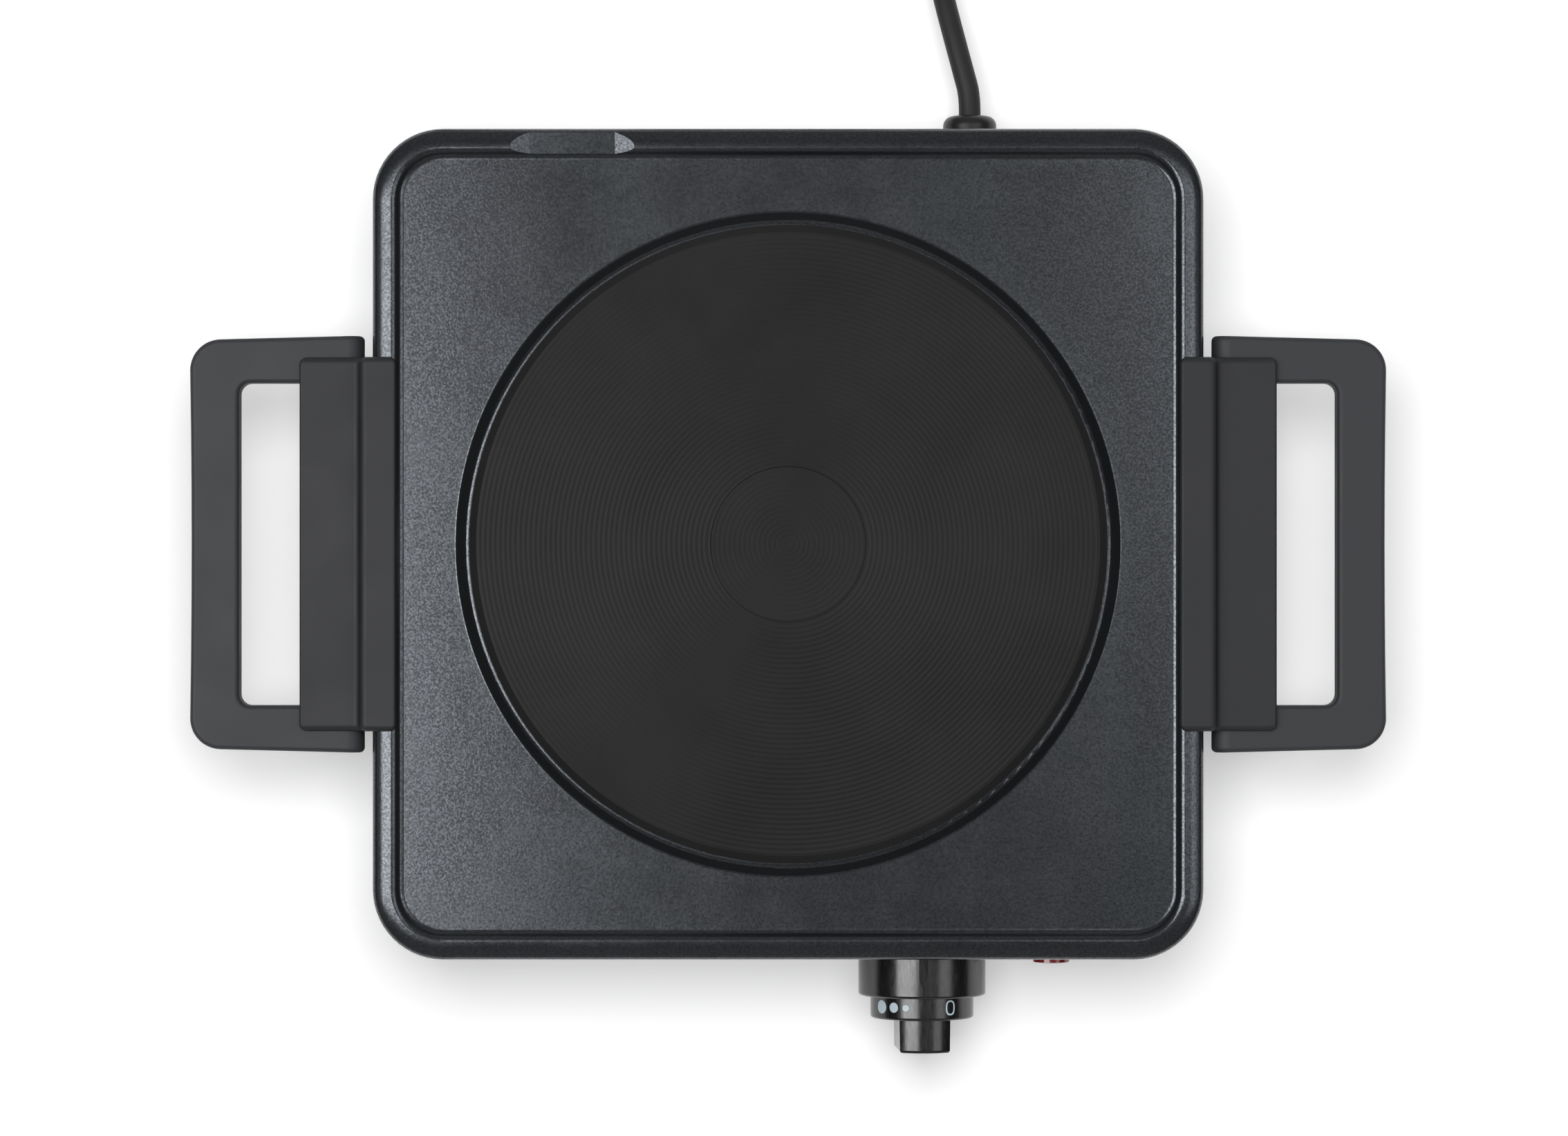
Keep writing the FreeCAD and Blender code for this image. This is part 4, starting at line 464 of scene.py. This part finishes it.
def dot_tree():
    """Dots that grow along a line, then wrapped round the dial's rim."""
    tree, given = begin_tree("dial_dots", Count="Int", First_Diameter="Float", Rim_Radius="Float",
                             Finish="Material")
    number = add(tree, "GeometryNodeInputIndex").outputs[0]
    pairs = math_node(tree, "MULTIPLY", number, math_node(tree, "SUBTRACT", number, 1.0))
    # Each dot stands further from the last than the one before, and is larger
    even = math_node(tree, "MULTIPLY", number, DOT_STEP_DEGREES)
    spread = math_node(tree, "MULTIPLY", pairs, DOT_STEP_GROWTH)
    degrees = math_node(tree, "ADD", math_node(tree, "ADD", even, spread), FIRST_DOT_DEGREES)
    growth = math_node(tree, "MULTIPLY", number, DOT_GROWTH)
    diameter = math_node(tree, "ADD", given["First Diameter"], growth)
    turn = math_node(tree, "MULTIPLY", degrees, -math.pi / 180)
    line = add(tree, "ShaderNodeCombineXYZ", {"X": math_node(tree, "MULTIPLY", turn, given["Rim Radius"])})
    points = add(tree, "GeometryNodePoints", {"Count": given["Count"], "Position": line.outputs[0]})
    round_face = {"Vertices": DOT_SIDES, "Radius": 0.5}
    disc = add(tree, "GeometryNodeMeshCircle", round_face, fill_type="TRIANGLE_FAN")
    fine = add(tree, "GeometryNodeSubdivideMesh", {"Mesh": disc.outputs[0], "Level": 2})
    scale = add(tree, "ShaderNodeCombineXYZ", {"X": diameter, "Y": diameter, "Z": diameter})
    dots = add(tree, "GeometryNodeInstanceOnPoints", {
        "Points": points.outputs[0],
        "Instance": fine.outputs[0],
        "Scale": scale.outputs[0],
    })
    flat = add(tree, "GeometryNodeRealizeInstances", {"Geometry": dots.outputs[0]})
    at = add(tree, "ShaderNodeSeparateXYZ", {0: add(tree, "GeometryNodeInputPosition").outputs[0]}).outputs
    around = math_node(tree, "DIVIDE", at["X"], given["Rim Radius"])
    spot = add(tree, "ShaderNodeCombineXYZ", {
        "X": math_node(tree, "MULTIPLY", given["Rim Radius"], math_node(tree, "SINE", around)),
        "Y": at["Y"],
        "Z": math_node(tree, "MULTIPLY", given["Rim Radius"], math_node(tree, "COSINE", around)),
    })
    bent = add(tree, "GeometryNodeSetPosition", {"Geometry": flat.outputs[0], "Position": spot.outputs[0]})
    end_tree(tree, bent, given["Finish"])
    return tree


def nought_mesh(rim_radius, degrees, stroke=0.00046, steps=56, squareness=0.75):
    """An oval outline wrapped on the dial's rim, centred on the dial's axis."""
    shape = bmesh.new()
    rows = []
    for share in (1.0, 0.5, 0.0):
        wide = sizes().zero_width / 2 - stroke * share
        tall = sizes().zero_height / 2 - stroke * share
        row = []
        for step in range(steps):
            angle = math.tau * step / steps
            # A squared oval, as dial numerals have
            across = math.copysign(abs(math.cos(angle)) ** squareness, math.cos(angle)) * wide
            along = math.copysign(abs(math.sin(angle)) ** squareness, math.sin(angle)) * tall
            around = math.radians(degrees) + across / rim_radius
            spot = (rim_radius * math.sin(around), along, rim_radius * math.cos(around))
            row.append(shape.verts.new(spot))
        rows.append(row)
    for inner, outer in zip(rows, rows[1:]):
        for step in range(steps):
            after = (step + 1) % steps
            shape.faces.new((inner[step], inner[after], outer[after], outer[step]))
    return settle(shape, bpy.data.meshes.new("dial_nought"))


def turn_outwards(mesh, axis_x, axis_z):
    """Point every face of a mark away from the knob's axis."""
    shape = bmesh.new()
    shape.from_mesh(mesh)
    for face in shape.faces:
        middle = face.calc_center_median()
        if face.normal.x * (middle.x - axis_x) + face.normal.z * (middle.z - axis_z) < 0:
            face.normal_flip()
    settle(shape, mesh)


# Painted shade of the screw heads' recesses, as flat dark crosses


def loose_solids(shape):
    """Vertices of each solid in a mesh of several, one list a solid."""
    waiting = set(shape.verts)
    while waiting:
        solid = [waiting.pop()]
        for vertex in solid:
            for edge in vertex.link_edges:
                other = edge.other_vert(vertex)
                if other in waiting:
                    waiting.remove(other)
                    solid.append(other)
        yield [vertex.co for vertex in solid]


def screw_heads(node):
    """Middle of each screw's head and the way that it faces: the wider end of its longest side."""
    shape = bmesh.new()
    shape.from_mesh(node.data)
    shape.transform(node.matrix_world)
    bmesh.ops.remove_doubles(shape, verts=shape.verts, dist=SAME_SPOT)
    heads = []
    for spots in loose_solids(shape):
        low = Vector([min(spot[axis] for spot in spots) for axis in range(3)])
        high = Vector([max(spot[axis] for spot in spots) for axis in range(3)])
        middle = (low + high) / 2
        along = max(range(3), key=lambda axis: high[axis] - low[axis])
        ends = []
        sideways = [axis for axis in range(3) if axis != along]
        for end, sign in ((low[along], -1), (high[along], 1)):
            face = [spot for spot in spots if abs(spot[along] - end) < END_REACH]
            width = max(abs(spot[axis] - middle[axis]) for spot in face for axis in sideways)
            ends.append((width, end, sign))
        _, end, sign = max(ends)
        outward = Vector()
        outward[along] = sign
        middle[along] = end
        heads.append((middle, outward))
    shape.free()
    return sorted(heads, key=lambda head: [round(value, 5) for value in head[0]])


def painted_recess_mesh(name, heads, reach=CROSS_REACH, stroke=CROSS_STROKE):
    """A flat dark cross on each screw head, painted shade in place of its recess, each turned further than
    the one before it.
    """
    bars = (
        (-reach, reach, -stroke, stroke),
        (-stroke, stroke, stroke, reach),
        (-stroke, stroke, -reach, -stroke),
    )
    shape = bmesh.new()
    for number, (middle, outward) in enumerate(heads):
        across = Quaternion(outward, number * CROSS_TURN) @ outward.orthogonal().normalized()
        up = outward.cross(across)
        for left, right, low, high in bars:
            corners = ((left, low), (right, low), (right, high), (left, high))
            base = middle + outward * CROSS_LIFT
            spots = [base + across * along + up * above for along, above in corners]
            shape.faces.new([shape.verts.new(spot) for spot in spots])
    return settle(shape, bpy.data.meshes.new(name))


# Mains cord

# The route of the lead from the strain relief to the coil, from the plate's axis
LEAD_ROUTE = [
    (0.05420, 0.12780, 0.02100),
    (0.05425, 0.13380, 0.02100),
    (0.05260, 0.14010, 0.02060),
    (0.04940, 0.15230, 0.01900),
    (0.04600, 0.16610, 0.01557),
    (0.04260, 0.18510, 0.00899),
    (0.03920, 0.20410, 0.00455),
    (0.03555, 0.22070, 0.00455),
]
COIL_TURNS = 3.25
COIL_STEP = 0.0071
COIL_INNER = 0.0309
CLIMB_TURNS = 0.5
POINTS_A_TURN = 24
TAIL_ROUTE = [(0.015, 0), (0.040, 1), (0.055, 1)]
PLUG_AXIS_Z = 0.0187


def cord_route():
    """Points of the whole cord: the lead, in and out of the coil, and up to the plug."""
    lead = [Vector(point) for point in LEAD_ROUTE]
    heading = (lead[-1] - lead[-2]).normalized()
    start_angle = math.atan2(-heading.x, heading.y)
    straight = sizes().cord_diameter
    outermost = COIL_INNER + COIL_STEP * COIL_TURNS / 2
    first = lead[-1] + heading * straight
    centre = first - Vector((math.cos(start_angle), math.sin(start_angle), 0)) * outermost
    route = list(lead)
    count = round(COIL_TURNS * POINTS_A_TURN)
    for step in range(count + 1):
        turn = COIL_TURNS * step / count
        from_middle = turn - COIL_TURNS / 2
        radius = COIL_INNER + COIL_STEP * abs(from_middle)
        climb = min(max(from_middle / CLIMB_TURNS + 0.5, 0), 1)
        angle = start_angle + math.tau * turn
        lift = COIL_STEP * (1 - math.cos(math.pi * climb)) / 2
        route.append(centre + Vector((math.cos(angle) * radius, math.sin(angle) * radius, lift)))
    end_angle = start_angle + math.tau * COIL_TURNS
    away = Vector((-math.sin(end_angle), math.cos(end_angle), 0))
    tail = route[-1] + away * straight
    route.append(tail)
    for along, share in TAIL_ROUTE:
        route.append(tail + away * along + Vector((0, 0, (PLUG_AXIS_Z - tail.z) * share)))
    return [point + Vector((PLATE_X, PLATE_Y, 0)) for point in route]


def smooth_curve(name, points, diameter):
    """A round tube along a smooth curve that is led by the points."""
    data = bpy.data.curves.new(name, "CURVE")
    data.dimensions = "3D"
    spline = data.splines.new("NURBS")
    spline.points.add(len(points) - 1)
    for control, point in zip(spline.points, points):
        control.co = (*point, 1.0)
    spline.order_u = 3
    spline.use_endpoint_u = True
    spline.resolution_u = 6
    data.bevel_depth = diameter / 2
    data.bevel_resolution = 6
    data.use_fill_caps = True
    return new_piece(name, data)


# Operators


class HOTPLATE_OT_housing(bpy.types.Operator):
    """Coat the pressed housing and its base"""

    bl_idname = "hotplate.housing"
    bl_label = "Coat Housing"

    def execute(self, context):
        dress(powder_coat("housing_coat", colours().coat), "housing")
        dress(plated_metal("galvanised_sheet", (0.55, 0.56, 0.57), 0.34, 0.48),
              "base_cover", "clamp_strap", "heat_shield", "element_cover")
        dress(rubber("foot_rubber", (0.018, 0.018, 0.018)), "feet")
        return {"FINISHED"}


class HOTPLATE_OT_plate(bpy.types.Operator):
    """Black the cast plate and turn its ridges"""

    bl_idname = "hotplate.plate"
    bl_label = "Turn Plate"

    def execute(self, context):
        iron = blacked_iron("stove_blacked_iron", colours().iron)
        dress(iron, "hot_plate")
        pitch = sizes().ridge_pitch
        tree = ridge_tree()
        for name, (inner, outer, rise, share) in RIDGE_ZONES.items():
            piece = grow(name, tree, {
                "Inner Radius": inner,
                "Outer Radius": outer,
                "Pitch": pitch,
                "Height": sizes().ridge_height * share,
                "Rows": round((outer - inner) / pitch * ROWS_A_RIDGE),
                "Spokes": RIDGE_SPOKES,
            }, iron)
            for vertex in piece.data.vertices:
                vertex.co += Vector((PLATE_X, PLATE_Y, PLATE_HIGH.z + rise + RIDGE_LIFT))
            face_upwards(piece.data)
            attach(piece, "base")
        return {"FINISHED"}


class HOTPLATE_OT_handles(bpy.types.Operator):
    """Finish the folding handles and their brackets"""

    bl_idname = "hotplate.handles"
    bl_label = "Finish Handles"

    def execute(self, context):
        colour = colours().handle
        dress(moulded_plastic("handle_plastic", colour, 0.55, 0.64), "handle_left", "handle_right")
        dress(moulded_plastic("bracket_plastic", shade(colour, 0.60), 0.55, 0.64),
              "handle_bracket_left", "handle_bracket_right")
        dress(moulded_plastic("blackened_screw", (0.012, 0.012, 0.012), 0.30, 0.40), "bracket_screws")
        return {"FINISHED"}


class HOTPLATE_OT_recesses(bpy.types.Operator):
    """Paint the shade of each screw head's cross recess as a flat dark cross"""

    bl_idname = "hotplate.recesses"
    bl_label = "Mark Screw Recesses"

    def execute(self, context):
        # The crosses are painted shade: flat dark sheets where a real recess would lie in shade
        shadow = moulded_plastic("recess_shadow", (0.003, 0.003, 0.003), 0.60, 0.70)
        for node, slot in (("bracket_screws", "black_screw"), ("foot_screws", "zinc_steel")):
            name = f"{node}_painted_recess_shade"
            piece = new_piece(name, painted_recess_mesh(name, screw_heads(NODES[node])))
            piece.data.materials.append(shadow)
            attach(piece, "base")
        return {"FINISHED"}


class HOTPLATE_OT_knob(bpy.types.Operator):
    """Polish the knob and print its dial"""

    bl_idname = "hotplate.knob"
    bl_label = "Finish Knob"

    def execute(self, context):
        dress(polished_plastic("knob_plastic", colours().knob), "knob", "knob_bezel")
        ink = printed_mark("dial_print", colours().marks)
        rim = DIAL_RADIUS + PRINT_LIFT
        dots = grow("dial_dots", dot_tree(), {
            "Count": sizes().dot_count,
            "First Diameter": sizes().first_dot,
            "Rim Radius": rim,
        }, ink)
        nought = new_piece("dial_nought", nought_mesh(rim, NOUGHT_DEGREES))
        nought.data.materials.append(ink)
        middle = Vector((KNOB_AXIS.x, BEZEL_LOW.y - MARKS_BEFORE_BEZEL, KNOB_AXIS.z))
        for piece in (dots, nought):
            for vertex in piece.data.vertices:
                vertex.co += middle
            turn_outwards(piece.data, KNOB_AXIS.x, KNOB_AXIS.z)
            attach(piece, "knob")
        return {"FINISHED"}


class HOTPLATE_OT_pilot(bpy.types.Operator):
    """Finish the pilot light"""

    bl_idname = "hotplate.pilot"
    bl_label = "Finish Pilot Light"

    def execute(self, context):
        dress(clear_red("pilot_red", colours().lens), "pilot_lens")
        dress(lamp_glass("pilot_glass"), "pilot_lamp")
        dress(moulded_plastic("holder_plastic", (0.58, 0.56, 0.52), 0.45, 0.55), "lamp_holder")
        return {"FINISHED"}


class HOTPLATE_OT_cord(bpy.types.Operator):
    """Lay the mains cord and finish its plug"""

    bl_idname = "hotplate.cord"
    bl_label = "Lay Mains Cord"

    def execute(self, context):
        sheath = rubber("cord_sheath", colours().sheath)
        route = cord_route()
        cord = smooth_curve("mains_cord", route, sizes().cord_diameter)
        cord.data.materials.append(sheath)
        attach(cord, "base")
        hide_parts("cord_lead", "cord_coil", "cord_tail")
        dress(sheath, "inner_cable", "cord_lead", "cord_coil", "cord_tail")
        dress(rubber("plug_rubber", (0.020, 0.020, 0.020)), "plug_body")
        dress(plated_metal("plug_nickel", (0.66, 0.63, 0.56), 0.15, 0.25),
              "plug_pins", "plug_earth_strips")
        dress(moulded_plastic("tie_nylon", (0.020, 0.020, 0.020), 0.42, 0.52), "coil_tie")
        dress(moulded_plastic("gland_plastic", (0.016, 0.016, 0.017), 0.30, 0.40), "strain_relief")
        tuple(route[0])
        return {"FINISHED"}


class HOTPLATE_OT_works(bpy.types.Operator):
    """Finish the works inside the housing"""

    bl_idname = "hotplate.works"
    bl_label = "Finish Works"

    def execute(self, context):
        dress(plated_metal("zinc_plate", (0.62, 0.62, 0.63)),
              "foot_screws", "foot_nuts", "plate_stud", "stud_washer", "stud_nuts", "bush_nut",
              "thermostat_spindle", "bracket_nuts", "hinge_pins_left", "hinge_pins_right")
        dress(plated_metal("bare_brass", (0.72, 0.52, 0.22)), "thermostat_bush", "terminal_screws")
        dress(plated_metal("sensing_alloy", (0.60, 0.52, 0.42)), "sensing_strip")
        dress(plated_metal("oxidised_ribbon", (0.30, 0.28, 0.27), 0.45, 0.60), "heater_rings")
        dress(fired_ceramic("magnesia", (0.58, 0.55, 0.48)), "insulation_bed")
        dress(fired_ceramic("steatite", (0.70, 0.67, 0.60)),
              "thermostat_body", "terminal_block", "terminal_bead")
        dress(rubber("brown_sleeve", (0.11, 0.045, 0.018)), "wire_live", "lamp_leads")
        dress(rubber("white_sleeve", (0.60, 0.58, 0.54)), "wire_heater", "cable_cores")
        dress(rubber("blue_sleeve", (0.02, 0.07, 0.26)), "wire_neutral")
        dress(rubber("green_sleeve", (0.09, 0.23, 0.03)), "wire_earth")
        return {"FINISHED"}


def floor_material():
    """White to the camera and in reflections, with the shadows that fall on it near the part."""
    material = bpy.data.materials.new("studio_floor")
    material.use_nodes = True
    tree = material.node_tree
    tree.nodes.clear()
    light_path = add(tree, "ShaderNodeLightPath").outputs
    bounced = math_node(tree, "MAXIMUM", light_path["Is Glossy Ray"], light_path["Is Transmission Ray"])
    seen = math_node(tree, "MAXIMUM", light_path["Is Camera Ray"], bounced)
    place = add(tree, "ShaderNodeTexCoord").outputs["Object"]
    reach = add(tree, "ShaderNodeVectorMath", {0: place}, operation="LENGTH").outputs["Value"]
    far = add(tree, "ShaderNodeMapRange", {
        "Value": reach,
        "From Min": FAR_FROM,
        "From Max": FAR_TO,
        "To Max": FAR_GLOW,
    })
    away = math_node(tree, "MULTIPLY", light_path["Is Camera Ray"], far.outputs["Result"])
    strength = math_node(tree, "ADD", math_node(tree, "MULTIPLY", seen, FLOOR_GLOW), away)
    paper = add(tree, "ShaderNodeBsdfDiffuse", {"Color": opaque(FLOOR_PAPER)})
    glow = add(tree, "ShaderNodeEmission", {"Strength": strength})
    both = add(tree, "ShaderNodeAddShader", {0: paper.outputs[0], 1: glow.outputs[0]})
    add(tree, "ShaderNodeOutputMaterial", {"Surface": both.outputs[0]})
    return material


def studio_world():
    """A dim ceiling, pale walls before and behind, and white where the camera sees past the floor."""
    world = bpy.data.worlds.new("studio")
    world.use_nodes = True
    tree = world.node_tree
    direction = add(tree, "ShaderNodeTexCoord").outputs["Generated"]
    towards = add(tree, "ShaderNodeSeparateXYZ", {0: direction}).outputs
    upper = math_node(tree, "MULTIPLY", math_node(tree, "MAXIMUM", towards["Z"], 0.0), CEILING_GLOW)
    facing = math_node(tree, "MULTIPLY", math_node(tree, "MULTIPLY", towards["Y"], towards["Y"]), WALL_GLOW)
    seen = add(tree, "ShaderNodeLightPath").outputs["Is Camera Ray"]
    strength = math_node(tree, "MAXIMUM", math_node(tree, "ADD", upper, facing), seen)
    background = tree.nodes["Background"].inputs
    background["Color"].default_value = (1, 1, 1, 1)
    tree.links.new(strength, background["Strength"])
    return world


def softbox(name, place, target, size, power):
    """An area lamp that is turned to its target."""
    data = bpy.data.lights.new(name, "AREA")
    data.shape = "RECTANGLE"
    data.size, data.size_y = size
    data.energy = power
    lamp = new_piece(name, data)
    lamp.location = place
    lamp.rotation_euler = (Vector(target) - Vector(place)).to_track_quat("-Z", "Y").to_euler()
    return lamp


class HOTPLATE_OT_stage(bpy.types.Operator):
    """Set the floor, the lights and the camera"""

    bl_idname = "hotplate.stage"
    bl_label = "Set Stage"

    def execute(self, context):
        scene = context.scene
        shape = bmesh.new()
        bmesh.ops.create_grid(shape, x_segments=2, y_segments=2, size=FLOOR_REACH)
        floor = new_piece("studio_floor", settle(shape, bpy.data.meshes.new("studio_floor")))
        floor.location.z = -FLOOR_DROP
        floor.data.materials.append(floor_material())

        middle = (0, PLATE_Y, LAMP_TARGET_HEIGHT)
        for name, (place, size, power, left_out) in LAMPS.items():
            setattr(softbox(name, place, middle, size, power), left_out, False)

        scene.world = studio_world()

        camera = new_piece("camera", bpy.data.cameras.new("camera"))
        camera.data.sensor_width = CAMERA_SENSOR
        camera.data.lens = CAMERA_LENS
        camera.data.clip_start, camera.data.clip_end = CAMERA_CLIP
        # A camera that isn't turned looks straight down
        camera.location = (PLATE_X + CAMERA_X, PLATE_Y + CAMERA_Y, sizes().camera_height)
        scene.camera = camera
        scene.view_settings.view_transform = "Standard"
        return {"FINISHED"}


class HOTPLATE_PT_panel(bpy.types.Panel):
    """Sizes, colours and steps of the hot plate"""

    bl_idname = "HOTPLATE_PT_panel"
    bl_label = "Hot Plate"
    bl_space_type = "VIEW_3D"
    bl_region_type = "UI"
    bl_category = "Hot Plate"

    def draw(self, context):
        for group in (colours(), sizes()):
            column = self.layout.column()
            for name in group.__annotations__:
                column.prop(group, name)
        for step in STEPS:
            self.layout.operator(step.bl_idname)


STEPS = (
    HOTPLATE_OT_stage,
    HOTPLATE_OT_cord,
    HOTPLATE_OT_housing,
    HOTPLATE_OT_plate,
    HOTPLATE_OT_handles,
    HOTPLATE_OT_recesses,
    HOTPLATE_OT_knob,
    HOTPLATE_OT_pilot,
    HOTPLATE_OT_works,
)
CLASSES = (HotPlateColours, HotPlateSizes, *STEPS, HOTPLATE_PT_panel)


def register():
    for item in CLASSES:
        bpy.utils.register_class(item)
    bpy.types.Scene.hot_plate_colours = bpy.props.PointerProperty(type=HotPlateColours)
    bpy.types.Scene.hot_plate_sizes = bpy.props.PointerProperty(type=HotPlateSizes)


def unregister():
    del bpy.types.Scene.hot_plate_sizes
    del bpy.types.Scene.hot_plate_colours
    for item in reversed(CLASSES):
        bpy.utils.unregister_class(item)


def main():
    register()
    for step in STEPS:
        getattr(bpy.ops.hotplate, step.bl_idname.partition(".")[2])()


if __name__ == "__main__":
    main()
